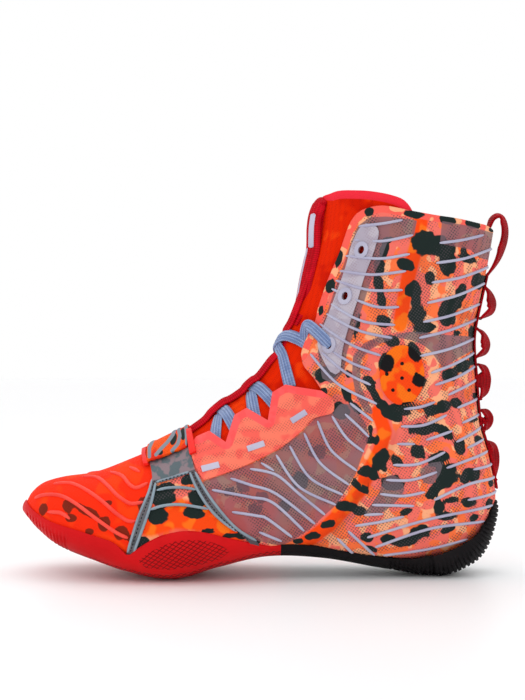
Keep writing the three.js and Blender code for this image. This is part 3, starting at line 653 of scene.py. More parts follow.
def paintUpper(bm):
    film = bm.verts.layers.float.new("film")
    blotch = bm.verts.layers.float.new("blotch")
    toe = bm.verts.layers.float.new("toe")
    hollow = bm.verts.layers.float.new("hollow")
    vivid = bm.verts.layers.float.new("vivid")
    binding = bm.verts.layers.float.new("binding")
    mouth = upperSizes["opening"][15:]
    for vert in bm.verts:
        px, py = pixelOf(vert.co)
        vert[vivid] = max(1 - 0.5 * pointOnLine(line, px, py, 60)[0] / half for line, half in vividBands)
        vert[binding] = pointOnLine(mouth, px, py, 30)[0] / 13
        vert[film] = max(depthInside(panel, px, py, 6) for panel in filmPanels)
        # under the disc's vent holes the print is painted fully dark, as painted shade in the holes
        vert[blotch] = 1.0 if min(math.hypot(px - x, py - y) for x, y in vents) < 4.5 else blotchAt(px, py)
        vert[toe] = depthInside(toeEdge, px, py, 6)
        # the crease depth, which darkens the print as painted shade in the troughs
        vert[hollow] = min(max(creaseDepth(vert.co) / 0.0014, 0.0), 1.0)


def addWall(piece, thickness, offset=-1.0):
    wall = piece.modifiers.new("wall", "SOLIDIFY")
    wall.thickness = thickness
    wall.offset = offset


def softenEdge(piece, width, limit=30):
    # limit: edges that turn by more than this many degrees are rounded
    soften = piece.modifiers.new("soft edge", "BEVEL")
    soften.width = width
    soften.segments = 2
    soften.limit_method = "ANGLE"
    soften.angle_limit = math.radians(limit)


printMaterial = makePrintMaterial()
paintUpper(upperShape)
upper = finishObject("upperShell", upperShape, ["upper"], printMaterial)
addWall(upper, upperSizes["wall"])
print("upper made")


def sideSheet(pixels, corners=(), spacing=0.0028, holes=()):
    # a flat sheet in the side view with its outline as seen in the photo, cut into small faces
    outline = evenOutline(pixels, 0.0022, corners)
    bm = bmesh.new()
    rim = [bm.verts.new((p[0], 0, p[1])) for p in outline]
    bm.faces.new(rim)
    xs = [p[0] for p in outline]
    zs = [p[1] for p in outline]
    sweeps = ((min(xs), max(xs), Vector((1, 0, 0))), (min(zs), max(zs), Vector((0, 0, 1))))
    for low, high, normal in sweeps:
        for i in range(1, int((high - low) / spacing)):
            geom = bm.verts[:] + bm.edges[:] + bm.faces[:]
            bmesh.ops.bisect_plane(bm, geom=geom, dist=1e-6, plane_co=normal * (low + i * spacing),
                                   plane_no=normal)
    for hole in holes:
        cutByOutline(bm, hole, keepInside=False)
    return bm


def layOnSide(bm, side, lift):
    for vert in bm.verts:
        place, normal = fromSide(vert.co.x, vert.co.z, side, lift)
        vert.co = place
    bmesh.ops.recalc_face_normals(bm, faces=bm.faces)
    faces = bm.faces[:]
    towards = sum(face.normal.y * face.calc_area() for face in faces)
    if towards * side < 0:
        bmesh.ops.reverse_faces(bm, faces=faces)


overlaySizes = {
    "lift": 0.0004, "skin": 0.0009, "edge": 0.0003,
    "tabLift": 0.0016, "tabSkin": 0.0018, "discSkin": 0.0008, "tagSink": 0.0001, "tagSkin": 0.0006,
    "eyestay": [
        (197, 438), (210, 432), (226, 443), (235, 416), (247, 409), (268, 421), (273, 393), (286, 385),
        (296, 387), (322, 391), (333, 400), (334, 411), (331, 414), (313, 419), (302, 431), (282, 447),
        (258, 460), (231, 471.6), (204, 481), (197, 470), (191, 450)],
    "eyestayCorners": (0, 1, 2, 3, 4, 5, 6, 7, 9, 18),
    "facing": [
        (362, 226), (371, 224), (379, 231), (374, 252), (365, 276), (358, 300), (350, 324), (343, 350),
        (340, 372), (331, 372), (320, 352), (319, 338), (326, 322), (336, 296), (346, 268), (353, 243)],
    "disc": {"center": (402, 375), "wide": 22, "tall": 30, "vent": 1.9},
    "ringRise": 0.0009,
    "saddleOut": [
        (150, 461), (188, 447), (192, 458), (195.5, 471), (206, 490), (220, 510), (237, 528), (258, 542),
        (262, 552), (122, 562), (127, 553), (138, 517), (149, 492), (152.7, 478)],
    "saddleCorners": (0, 1, 7, 8, 9, 10),
    "saddleWindow": [
        (156, 484), (190, 474), (197, 490), (209, 508), (224, 521), (240, 534), (248, 545), (200, 548),
        (150, 551), (134.5, 552), (144, 524), (152, 503)],
    "saddleBlock": [(151, 470), (170, 466), (191, 459)],
    "tags": [(210.6, 467.8, -15), (255.7, 447, -19), (299, 417, -33)], "tagHalf": (9, 3),
    "tabs": [
        [(144, 453), (148.5, 452), (149.5, 467), (145, 468)],
        [(188.5, 433), (193.5, 431.5), (197.5, 454), (191, 457)]],
}


def makeOverlay(name, pixels, side, nodes, material, lift, skin,
                corners=(), holes=(), rimLine=None, rimHalf=7):
    # a thin skin on the form; rimLine and rimHalf are the line and half width of its second colour.
    # Round holes, which have more points than the saddle's window, get a finer outline.
    openings = [flatPairs(evenOutline(hole, 0.0006 if len(hole) > 14 else 0.002)) for hole in holes]
    bm = sideSheet(pixels, corners, 0.0018 if rimLine else 0.0028, openings)
    layOnSide(bm, side, lift)
    blotch = bm.verts.layers.float.new("blotch")
    rim = bm.verts.layers.float.new("rim")
    for vert in bm.verts:
        px, py = pixelOf(vert.co)
        vert[blotch] = blotchAt(px, py)
        vert[rim] = 0.5 * pointOnLine(rimLine, px, py, 30)[0] / rimHalf if rimLine else 1.0
    piece = finishObject(name, bm, nodes, material)
    addWall(piece, skin, offset=1.0)
    softenEdge(piece, overlaySizes["edge"], 50)


def makeSkinMaterial(name, main, second, veil, roughness, rim=None, spots=None, gloss=0.3):
    # a film panel: a mottled print showing through a coloured film, with the mesh's holes
    material, tree, shader = newMaterial(name)
    place = objectPlace(tree)
    flat = objectPlace(tree, scale=(1, 0.35, 1))
    mottle = step(tree, noiseOf(tree, flat, 95, 1.5), 0.47, 0.56)
    color = mixColors(tree, mottle, main, second)
    holes = meshHoles(tree, 720)
    color = mixColors(tree, sums(tree, "MULTIPLY", holes, veil), color, shade(120, 40, 40))
    if rim:
        patches = step(tree, noiseOf(tree, flat, 170, 2.0), 0.46, 0.56)
        onRim = step(tree, attributeOf(tree, "rim"), 0.54, 0.48)
        color = mixColors(tree, onRim, color, mixColors(tree, patches, *rim))
    if spots:
        wander = sums(tree, "SUBTRACT", noiseOf(tree, place, 260), 0.5)
        blotch = sums(tree, "MULTIPLY_ADD", wander, 0.3, attributeOf(tree, "blotch"))
        color = mixColors(tree, step(tree, blotch, 0.44, 0.52), color, spots)
    paint(tree, shader, color)
    setSurface(shader, roughness, gloss)
    roughen(tree, shader, sums(tree, "ADD", holes, sums(tree, "MULTIPLY", noiseOf(tree, place, 300), 0.6)),
            0.2, 0.0003)
    return material


def makeRubberMaterial(name, color, second, roughness):
    material, tree, shader = newMaterial(name)
    place = objectPlace(tree)
    grain = noiseOf(tree, place, 900, 3.0)
    paint(tree, shader, mixColors(tree, step(tree, noiseOf(tree, place, 45), 0.35, 0.7), color, second))
    setSurface(shader, roughness, 0.3)
    roughen(tree, shader, grain, 0.12, 0.0003)
    return material


def makeWebbingMaterial(name, color, second, across=5200):
    # woven tape: fine ribs across, broken by the warp, on the piece's own UV map
    material, tree, shader = newMaterial(name)
    place = uvPlace(tree)
    parts = addNode(tree, "ShaderNodeSeparateXYZ", {0: place})
    ribs = sums(tree, "SINE", sums(tree, "MULTIPLY", parts.outputs[0], across))
    warp = sums(tree, "SINE", sums(tree, "MULTIPLY", parts.outputs[1], across * 0.6))
    weave = sums(tree, "MULTIPLY_ADD", ribs, 0.5, sums(tree, "MULTIPLY", warp, 0.4))
    tone = sums(tree, "MULTIPLY_ADD", weave, 0.35, noiseOf(tree, objectPlace(tree), 120))
    paint(tree, shader, mixColors(tree, step(tree, tone, 0.2, 0.9), second, color))
    setSurface(shader, 0.75, 0.1)
    roughen(tree, shader, weave, 0.5, 0.0004)
    return material


eyestayMaterial = makeSkinMaterial("coral film", shade(248, 118, 92), shade(244, 92, 78), 0.4, 0.5,
                                   rim=(shade(252, 76, 76), shade(252, 84, 84)))
filmMaterial = makeSkinMaterial("smoky film", shade(186, 178, 190), shade(172, 162, 177), 0.2, 0.4)
saddleMaterial = makeSkinMaterial("saddle film", shade(92, 94, 100), shade(74, 76, 82), 0.3, 0.4,
                                  rim=(shade(134, 116, 122), shade(84, 98, 104)))
discMaterial = makeSkinMaterial("vent disc", shade(246, 68, 0), shade(248, 112, 8), 0.1, 0.5,
                                spots=shade(14, 12, 14), gloss=0.12)
eyeletMaterial = makeRubberMaterial("pale ring", shade(186, 184, 204), shade(170, 168, 190), 0.45)
# the heel tape's webbing is the tongue ribbon's webbing painted darker, as painted shade on the back of the
# heel
shadedTapeMaterial = makeWebbingMaterial("red webbing", shade(176, 0, 16), shade(122, 0, 8))
ribbonMaterial = makeWebbingMaterial("bright red webbing", shade(214, 6, 32), shade(168, 0, 16))
tabMaterial = makeRubberMaterial("red tab", shade(248, 34, 24), shade(236, 22, 20), 0.5)
labelMaterial = makeRubberMaterial("pale label", shade(196, 192, 212), shade(176, 172, 196), 0.4)
ribMaterial = makeRubberMaterial("raised rib", shade(180, 180, 202), shade(168, 164, 190), 0.4)
saddleRibMaterial = makeRubberMaterial("saddle rib", shade(140, 158, 170), shade(124, 138, 150), 0.4)
stitchMaterial = makeRubberMaterial("dark stitch", shade(16, 16, 18), shade(26, 26, 30), 0.8)
toeRibMaterial = makeRubberMaterial("toe rib", shade(250, 74, 58), shade(240, 60, 50), 0.45)

sides = (("outer", 1), ("inner", -1))
for sideName, side in sides:
    o = overlaySizes
    makeOverlay(f"eyestay_{sideName}_panel", o["eyestay"], side, [f"eyestay_{sideName}"],
                eyestayMaterial, o["lift"], o["skin"], o["eyestayCorners"], (), o["eyestay"][:10])
    rings = [ovalHole(x, y, *eyelets["hole"], eyelets["turn"]) for x, y in eyelets["places"]]
    makeOverlay(f"facing_{sideName}_strip", o["facing"], side, [f"facing_{sideName}"], filmMaterial,
                o["lift"], o["skin"], (), rings)
    for i, (x, y) in enumerate(eyelets["places"]):
        makeOverlay(f"eyelet_{sideName}_{i + 1}_ring", ovalHole(x, y, *eyelets["out"], eyelets["turn"]), side,
                    [f"eyelet_{sideName}_{i + 1}"], eyeletMaterial, o["lift"] + o["skin"],
                    o["ringRise"], (), rings[i:i + 1])
    disc = o["disc"]
    plate = ovalHole(*disc["center"], disc["wide"], disc["tall"], count=28)
    makeOverlay(f"ankle_disc_{sideName}_plate", plate, side, [f"ankle_disc_{sideName}"], discMaterial,
                o["lift"], o["discSkin"], (),
                [ovalHole(x, y, disc["vent"], disc["vent"], count=16) for x, y in vents])
    makeOverlay(f"saddle_{sideName}_frame", o["saddleOut"], side, [f"saddle_{sideName}"],
                saddleMaterial, o["lift"], o["skin"], o["saddleCorners"], [o["saddleWindow"]],
                o["saddleBlock"], 11.5)
    for tab, place in zip(("front", "rear"), o["tabs"]):
        makeOverlay(f"{tab}_tab_{sideName}_tape", place, side, [f"{tab}_tab_{sideName}"], tabMaterial,
                    o["tabLift"], o["tabSkin"], (0, 1, 2, 3))
    for i, (x, y, turn) in enumerate(o["tags"]):
        c, t = math.cos(math.radians(turn)), math.sin(math.radians(turn))
        wide, tall = o["tagHalf"]
        corners = [(x + a * wide * c - b * tall * t, y + a * wide * t + b * tall * c)
                   for a, b in ((-1, -1), (1, -1), (1, 1), (-1, 1))]
        makeOverlay(f"tag_{sideName}_{i + 1}", corners, side, [], labelMaterial,
                    o["lift"] + o["skin"] - o["tagSink"], o["tagSkin"], (0, 1, 2, 3))
print("overlays made")

# Tongue, its band, tab and label
tongueSizes = {
    "face": -0.0038, "wall": 0.0024, "half": 11 / 36, "from": 6.2,
    "top": [(318, 240), (324, 203), (334, 191), (358, 189.5), (376, 191), (393, 194.5), (405, 199.6),
            (413, 210), (416, 222)],
    "hidden": [(0.020, 0.206), (0.026, 0.160), (0.040, 0.135), (0.060, 0.104), (0.085, 0.088), (0.115, 0.071),
               (0.140, 0.066), (0.158, 0.074), (0.180, 0.086), (0.185, 0.150), (0.110, 0.222)],
    "binding": 0.0050, "bindingFrom": 11, "fill": 0.5, "ridge": 0.0023, "ridgeHalf": 0.006,
}


def makeTongueMaterial():
    material, tree, shader = newMaterial("tongue knit")
    flat = objectPlace(tree, scale=(1, 0.4, 1))
    patch = step(tree, noiseOf(tree, flat, 48, 2.0), 0.52, 0.60)
    color = mixColors(tree, patch, shade(226, 38, 0), shade(206, 26, 0))
    brightPatch = step(tree, noiseOf(tree, objectPlace(tree, shift=(2, 5, 1)), 55), 0.60, 0.68)
    color = mixColors(tree, brightPatch, color, shade(240, 60, 6))
    holes = meshHoles(tree, 900)
    color = mixColors(tree, sums(tree, "MULTIPLY", holes, 0.4), color, shade(170, 22, 10))
    color = mixColors(tree, step(tree, attributeOf(tree, "binding"), 0.54, 0.48), color, shade(238, 46, 62))
    paint(tree, shader, color)
    setSurface(shader, 0.85, 0.05)
    roughen(tree, shader, holes, 0.3, 0.0003)
    return material


def makeTongue():
    t = tongueSizes

    def place(a, b):
        u = t["from"] + a * (lastSection - t["from"])
        v = 0.5 + (b - 0.5) * 2 * t["half"]
        return skinPoint(u, v, t["face"])

    bm = mappedGrid(190, 70, place)
    top = seenCurve(t["top"])
    cutByOutline(bm, top + t["hidden"], keepInside=True)
    binding = bm.verts.layers.float.new("binding")
    edge = top[t["bindingFrom"]:]
    for vert in bm.verts:
        distance, _ = pointOnLine(edge, vert.co.x, vert.co.z)
        vert[binding] = 0.5 * distance / t["binding"]
        swell = math.exp(-((distance - 0.003) / 0.0022) ** 2) * 0.0007
        ridge = t["ridge"] * math.exp(-(vert.co.y / t["ridgeHalf"]) ** 2)
        vert.co += vert.normal * (swell + ridge if vert.co.z > 0.19 else ridge)
    out = sum(face.normal.x for face in bm.faces)
    if out < 0:
        bmesh.ops.reverse_faces(bm, faces=bm.faces)
    piece = finishObject("tonguePad", bm, ["tongue"], makeTongueMaterial())
    addWall(piece, t["wall"])


makeTongue()

tapeSizes = {"width": 0.011, "thick": 0.0013, "edge": 0.0003, "loopExtra": 0.0003, "loopShift": 0.0006}


def ribbonGrid(alongCount, acrossCount, length, width):
    # a flat grid from -0.5 to 0.5, whose UV map gives metres along and across the ribbon
    bm = bmesh.new()
    bmesh.ops.create_grid(bm, x_segments=alongCount, y_segments=acrossCount, size=0.5)
    uv = bm.loops.layers.uv.new("UVMap")
    for face in bm.faces:
        for loop in face.loops:
            loop[uv].uv = (loop.vert.co.x * length, (loop.vert.co.y + 0.5) * width)
    return bm


def makeTape(name, line, width, thick, nodes, material,
             offset=0.0, curl=0.0, lean=0.0, ramp=8, shift=0.0, pivot=0):
    # webbing that follows a side-view line and runs straight across the shoe, moved sideways by shift.
    # curl carries both its edges to one side of the line. lean twists it: the edge away from pivot
    # (-1, 0 or 1 across the width) leaves the line, more quickly from the ends with a larger ramp.
    line = smoothLine(line, 0.0012)
    count = len(line) - 1
    length = 0.0
    for a, b in zip(line, line[1:]):
        length += (b - a).length

    def place(a, b):
        at = min(int(round(a * count)), count)
        side = (b - 0.5) * width + shift
        run = (line[min(at + 1, count)] - line[max(at - 1, 0)]).normalized()
        drop = curl * (2 * (b - 0.5)) ** 2 - lean * (2 * b - 1 - pivot) * min(1, ramp * min(a, 1 - a))
        return Vector((line[at].x + run.y * drop, side, line[at].y - run.x * drop))

    bm = ribbonGrid(count, 6, length, width)
    for vert in bm.verts:
        vert.co = place(vert.co.x + 0.5, vert.co.y + 0.5)
    bmesh.ops.recalc_face_normals(bm, faces=bm.faces)
    piece = finishObject(name, bm, nodes, material, 60)
    addWall(piece, thick, offset)
    softenEdge(piece, tapeSizes["edge"])


# Ribbon down the tongue: section row and rise in mm, over the two lower crossings and under the third
tongueBandRise = [
    (6.4, 0.4), (6.7, 0.4), (6.95, 0.4), (7.25, 0.5), (7.5, 1.7), (7.9, 1.7), (8.15, 0.5), (8.6, 0.6),
    (8.8, 1.7), (9.15, 1.7), (9.4, 0.5), (10.1, 0.2), (10.45, -1.6), (11.1, -1.6), (11.6, 0.4), (13, 0.4),
    (14, 0.4), (15, 0.4), (16, 0.4), (17, 0.4), (18, 0.4), (19, 0.4), (20, 0.4), (20.4, 0.4)]


def ridgePlace(u, rise):
    place = skinPoint(u, 0.5, tongueSizes["face"] + rise)
    return Vector((place.x, place.z))


bandLift = 0.0041
bandLine = [ridgePlace(u, rise / 1000 + bandLift) for u, rise in tongueBandRise]
makeTape("tongueRibbon", bandLine, tapeSizes["width"], tapeSizes["thick"], ["tongue_band"],
         ribbonMaterial, curl=-0.0034)
tabPixels = [(328, 200), (321, 198), (316, 203), (311.5, 214), (309.5, 228), (309, 248), (306, 262),
             (302, 280), (298.5, 300), (294, 318), (292, 324)]
tabLine = [Vector(fromPhoto(px, py)) for px, py in tabPixels]
makeTape("tongueTab", tabLine, 0.014, tapeSizes["thick"], ["tongue_tab"], ribbonMaterial,
         curl=0.003, lean=-0.0036)
labelLine = [point - Vector((0.001, 0)) for point in tabLine[3:6]]
makeTape("tongueLabel", labelLine, 0.0035, 0.0008, ["tongue_label"], labelMaterial,
         curl=0.0002, lean=-0.0015, ramp=1000, shift=0.0027)
pipingLine = [point + Vector((0.0009, 0)) for point in tabLine[5:10]]
makeTape("tongueTabPiping", pipingLine, 0.0009, 0.0009, [], labelMaterial,
         lean=-0.0004, ramp=1000, shift=-0.0004)
print("tongue made")

# Heel tape: the sewn base and its loops, as photo pixels on the back of the shoe
heelLoops = [
    [(489, 228), (491, 218), (498, 213), (505, 216), (509, 226), (508.5, 240), (503, 256), (495, 268),
     (487, 277)],
    [(484, 284), (491, 290), (496, 298), (497, 306), (493, 314), (481, 319)],
    [(477, 328), (484, 331), (489.5, 338), (491, 346), (487, 354), (476, 358)],
    [(479, 364), (487, 366), (491, 373), (492, 382), (489, 393), (481, 400)],
    [(482, 410), (489, 410), (494, 416), (494, 423), (490, 429), (484, 432)],
    [(488, 441), (496, 444), (500, 453), (500, 466), (497, 480)]]

heelLoopLean = [0.0024, 0.0030, 0.0030, 0.0060, 0.0066, 0.0056]


def makeHeelTape():
    t = tapeSizes
    for i, pixels in enumerate(heelLoops):
        line = [Vector(fromPhoto(px, py)) for px, py in pixels]
        line[0] += Vector((t["loopShift"], 0))
        line[-1] += Vector((t["loopShift"], 0))
        nodes = ["heel_tape"] if i == 0 else []
        makeTape(f"heelLoop{i + 1}", line, t["width"], t["thick"] + t["loopExtra"], nodes,
                 shadedTapeMaterial, curl=-0.0003, lean=heelLoopLean[i], ramp=3, pivot=-1)
    base = [Vector((p.x, p.z)) for p in (skinPoint(15.2 + k * 0.32, 0.0, 0.0010) for k in range(19))]
    makeTape("heelStrip", base, t["width"], t["thick"], [], shadedTapeMaterial)


makeHeelTape()
print("heel tape made")

# Laces: two flat strands a crossing, each a section row and turn from one side to the other
laceSizes = {
    "width": 0.0072, "thick": 0.0013, "ridges": 3, "ridge": 0.00025, "cup": 0.0006,
    # how far a strand stands off the tongue, and how much further the second of a crossing does
    "standOff": 0.0011, "second": 0.0011,
}
laceStrands = [
    # rows where it starts, crosses and ends, reach as a share of a turn, and over: the extra rise at its
    # middle, which carries the third crossing over the ribbon
    {"name": "laceCross1", "node": "lace_cross_1", "rows": (7.4, 7.7, 8.1), "reach": 0.115, "over": 0},
    {"name": "laceCross2", "node": "lace_cross_2", "rows": (8.7, 8.95, 9.6), "reach": 0.12, "over": 0},
    {"name": "laceCross3", "node": "lace_cross_3", "rows": (10.2, 10.75, 13.0), "reach": 0.098, "over": 0.003},
]


def makeLaceMaterial():
    material, tree, shader = newMaterial("flat lace")
    parts = addNode(tree, "ShaderNodeSeparateXYZ", {0: uvPlace(tree)})
    across = sums(tree, "SINE", sums(tree, "MULTIPLY", parts.outputs[1], 3600))
    stitch = sums(tree, "SINE", sums(tree, "MULTIPLY", parts.outputs[0], 6500))
    weave = sums(tree, "MULTIPLY_ADD", stitch, 0.35, across)
    tone = sums(tree, "MULTIPLY_ADD", weave, 0.3, noiseOf(tree, objectPlace(tree), 160))
    tint = mixColors(tree, step(tree, tone, 0.1, 0.95), shade(96, 118, 166), shade(144, 165, 206))
    paint(tree, shader, tint)
    setSurface(shader, 0.75)
    shader.inputs["Sheen Weight"].default_value = 0.3
    roughen(tree, shader, weave, 0.6, 0.0004)
    return material


laceMaterial = makeLaceMaterial()


def makeStrand(name, path, nodes):
    # path: section row, turn, how far the underside stands off the form
    line = smoothLine([Vector((u, v * 40, rise * 1000)) for u, v, rise in path], 0.16)
    places = []
    for point in line:
        u, v, rise = point.x, point.y / 40, point.z / 1000
        places.append((skinPoint(u, v, rise), formNormal(u, v)))
    ribbonBetween(name, places, nodes)


def makeLaces():
    under = tongueSizes["face"] + laceSizes["standOff"]
    for strand in laceStrands:
        low, middle, high = strand["rows"]
        reach = strand["reach"]
        for side, lift in ((1, 0.0), (-1, laceSizes["second"])):
            path = [(low, 0.5 - side * reach, under),
                    ((low + middle) / 2, 0.5 - side * reach * 0.5, under + lift),
                    (middle, 0.5, under + lift + strand["over"]),
                    ((middle + high) / 2, 0.5 + side * reach * 0.5, under + lift),
                    (high, 0.5 + side * reach, under)]
            makeStrand(f"{strand['name']}_{'a' if side > 0 else 'b'}", path, [strand["node"]])


# the strand from each lowest eyelet over the front edge of the shaft and down beside the tongue
eyeletStrand = {"line": [(331, 346), (327, 341), (319, 333), (312, 327), (307, 326), (304, 331), (303, 340)],
                "rises": [0.0008, 0.0022, 0.0022, 0.0022, 0.0010, -0.0012, -0.0024]}


def ribbonBetween(name, places, nodes):
    # a flat lace through listed places, each with the normal it lies against
    s = laceSizes
    count = len(places) - 1
    length = sum((b[0] - a[0]).length for a, b in zip(places, places[1:]))
    bm = ribbonGrid(count, 12, length, s["width"])
    for vert in bm.verts:
        at = min(int(round((vert.co.x + 0.5) * count)), count)
        b = vert.co.y * 2
        middle, normal = places[at]
        run = (places[min(at + 1, count)][0] - places[max(at - 1, 0)][0]).normalized()
        across = normal.cross(run).normalized()
        ridge = s["ridge"] * math.cos(b * math.pi * s["ridges"])
        vert.co = middle + across * (b * s["width"] / 2) + normal * (ridge - s["cup"] * b ** 4)
    bmesh.ops.recalc_face_normals(bm, faces=bm.faces)
    piece = finishObject(name, bm, nodes, laceMaterial, 70)
    addWall(piece, s["thick"], 0.0)
    smooth = piece.modifiers.new("smooth", "SUBSURF")
    smooth.levels = smooth.render_levels = 1


def makeEyeletStrands():
    flat = seenLine(eyeletStrand["line"])
    rows = [Vector((p[0] * 1000, p[1] * 1000, rise * 1000)) for p, rise in zip(flat, eyeletStrand["rises"])]
    line = smoothLine(rows, 0.7)
    for sideName, side in sides:
        places = [fromSide(p.x / 1000, p.y / 1000, side, p.z / 1000) for p in line]
        ribbonBetween(f"eyeletLace_{sideName}", places, ["lace_cross_3"])


makeLaces()
makeEyeletStrands()
print("laces made")

# Padded roll over the throat, which carries the two saddles
rollSizes = {
    "from": 4.75, "to": 6.9, "half": 9.4 / 36, "lift": 0.0012, "rise": 0.0030, "wall": 0.0016, "fill": 0.8,
    "bandRise": 0.0007,
    "outline": [(148, 459), (160, 455.5), (174, 450.5), (187, 445.5), (188, 436), (188, 400), (146, 400),
                (148, 446)],
    "bands": [
        [(149.5, 457), (149.5, 448), (153, 440), (157, 434)],
        [(156, 455), (162, 448), (168, 442), (173, 435), (176, 426)],
        [(172, 451), (178, 444), (180, 436), (178, 426), (180, 418)],
        [(187, 444), (186.5, 434), (186, 424), (188, 414)]],
}


def makeRollMaterial():
    material, tree, shader = newMaterial("strap roll")
    flat = objectPlace(tree, scale=(1, 0.4, 1))
    mottle = step(tree, noiseOf(tree, flat, 90), 0.46, 0.56)
    color = mixColors(tree, mottle, shade(244, 84, 12), shade(226, 48, 22))
    holes = meshHoles(tree, 900)
    color = mixColors(tree, sums(tree, "MULTIPLY", holes, 0.35), color, shade(150, 34, 20))
    color = mixColors(tree, step(tree, attributeOf(tree, "blotch"), 0.44, 0.52), color, printColors["dark"])
    color = mixColors(tree, step(tree, attributeOf(tree, "rib"), 0.36, 0.46), color, shade(132, 140, 150))
    paint(tree, shader, color)
    setSurface(shader, 0.7, 0.1)
    roughen(tree, shader, holes, 0.3, 0.0003)
    return material


def makeRoll():
    r = rollSizes

    def place(a, b):
        u = r["from"] + a * (r["to"] - r["from"])
        v = 0.5 + (b - 0.5) * 2 * r["half"]
        crown = math.sin(math.pi * min(max(a, 0), 1)) ** 0.5
        return skinPoint(u, v, r["lift"] + r["rise"] * crown)

    bm = mappedGrid(90, 130, place)
    cutByOutline(bm, seenLine(r["outline"]), keepInside=True)
    rib = bm.verts.layers.float.new("rib")
    blotch = bm.verts.layers.float.new("blotch")
    for vert in bm.verts:
        vert.normal_update()
    for vert in bm.verts:
        px, py = pixelOf(vert.co)
        away = min(pointOnLine(line, px, py, 30)[0] for line in r["bands"])
        vert[rib] = max(0.0, 1 - away / 3)
        vert[blotch] = blotchAt(px, py)
        vert.co += vert.normal * (r["bandRise"] * max(1 - away / 2, 0) ** 0.5)
    if sum(face.normal.z for face in bm.faces) < 0:
        bmesh.ops.reverse_faces(bm, faces=bm.faces)
    piece = finishObject("strapRoll", bm, ["strap_pad"], makeRollMaterial())
    addWall(piece, r["wall"])


makeRoll()
print("roll made")

# Soles
soleSizes = {
    "rowSteps": 34, "side": 0.0022, "feather": 0.006, "featherDepth": 0.0013, "gap": 0.0003, "half": 13 / 36,
    "toeEdge": [(22, 497), (30, 507.5), (43.5, 518), (55, 523.5), (66, 527), (79, 531), (91, 535),
                (102, 538.5), (112, 542), (119, 547.5), (126, 554.5)],
    "wingEdge": [(130, 554.7), (137, 549), (146, 543), (154, 538.6), (162.5, 535), (175, 532), (187.5, 530.6),
                 (206, 532.5), (228, 538), (255, 544.4), (271, 548), (281, 546.5)],
    "heelEdge": [(281, 546.5), (296, 546), (320, 548.3), (338, 552), (356, 555), (374, 557.7), (392, 560),
                 (411, 559.6), (427, 556.5), (442.5, 552.5), (454, 548), (465, 542), (475, 535), (483, 527.5),
                 (488, 521), (491, 515), (494, 506), (499, 499)],
    # teeth under the heel and serrations of the toe; low and high are where they start and end along the shoe
    "teeth": {"pitch": 0.0026, "depth": 0.0010, "steep": 0.5, "low": -0.05, "high": 0.030},
    "serrations": {"pitch": 0.0024, "depth": 0.0008, "steep": 0.15, "low": 0.222, "high": 0.2505},
}


def soleThickness(u, normal):
    share = min(1, max(0, -normal.z) + (max(0, -normal.x) if u > heelSection else 0))
    return soleSizes["side"] + (sectionAt(u)[10] / 1000 - soleSizes["side"]) * share * share


def makeTreadMaterial(name, color, second, grooveShade, roughness, gloss):
    # rubber with a lattice of fine grooves where the tread attribute is 1; the grooves are painted darker, as
    # painted shade in them
    material, tree, shader = newMaterial(name)
    place = objectPlace(tree)
    parts = addNode(tree, "ShaderNodeSeparateXYZ", {0: place})
    lines = []
    for along, up in ((900, 1000), (620, -1350)):
        run = sums(tree, "MULTIPLY", parts.outputs[0], along)
        slope = sums(tree, "MULTIPLY_ADD", parts.outputs[2], up, run)
        lines.append(sums(tree, "ABSOLUTE", sums(tree, "SINE", slope)))
    grooves = step(tree, sums(tree, "MINIMUM", lines[0], lines[1]), 0.42, 0.2)
    tread = sums(tree, "MULTIPLY", grooves, step(tree, attributeOf(tree, "tread"), 0.46, 0.54))
    tone = mixColors(tree, step(tree, noiseOf(tree, place, 40), 0.35, 0.7), color, second)
    paint(tree, shader, mixColors(tree, tread, tone, grooveShade))
    setSurface(shader, roughness, gloss)
    height = sums(tree, "MULTIPLY_ADD", tread, -1.0, sums(tree, "MULTIPLY", noiseOf(tree, place, 900), 0.15))
    roughen(tree, shader, height, 0.6, 0.0006)
    return material


def makeSole(name, node, material, rows, full, outline, edgeLine, teeth, treadAt):
    # full: the rubber goes all round the form, as at the toe, and not only under it
    s = soleSizes
    span = 1.0 if full else 2 * s["half"]
    low = 0.0 if full else -s["half"]

    def place(a, b):
        u = rows[0] + a * (rows[1] - rows[0])
        v = low + b * span
        return skinPoint(u, v, soleThickness(u, formNormal(u, v)))

    bm = mappedGrid(int((rows[1] - rows[0]) * s["rowSteps"]), 130, place, closed=full)
    cutByOutline(bm, outline, keepInside=True)
    if sum(face.normal.z * face.calc_area() for face in bm.faces) > 0:
        bmesh.ops.reverse_faces(bm, faces=bm.faces)
    tread = bm.verts.layers.float.new("tread")
    for vert in bm.verts:
        vert.normal_update()
    moves = []
    for vert in bm.verts:
        down = max(0.0, -vert.normal.z) + (max(0.0, -vert.normal.x) if vert.co.x < 0.02 else 0.0)
        along = math.atan2(vert.co.z - 0.055, vert.co.x - 0.012) * 0.05 if vert.co.x < 0.02 else vert.co.x
        edge = math.cos(along / teeth["pitch"] * math.tau)
        strength = max(0.0, min(1.0, (down - teeth["steep"]) / 0.3))
        inside = teeth["low"] < vert.co.x < teeth["high"]
        if inside and strength > 0 and edge > 0.25:
            moves.append((vert, -vert.normal * teeth["depth"] * strength))
        fromEdge = pointOnLine(edgeLine, vert.co.x, vert.co.z, 0.01)[0] / s["feather"]
        if fromEdge < 1:
            moves.append((vert, -vert.normal * s["featherDepth"] * (1 - fromEdge) ** 2))
        vert[tread] = treadAt(vert.co, vert.normal)
    for vert, move in moves:
        vert.co += move
    for vert in bm.verts:
        vert.co.z = max(vert.co.z, 0.0)
    if full:
        rim = [edge for edge in bm.edges if edge.is_boundary and edge.verts[0].co.x > 0.252]
        bmesh.ops.holes_fill(bm, edges=rim, sides=0)
    piece = finishObject(name, bm, [node], material, 35)
    addWall(piece, s["side"] - s["gap"])


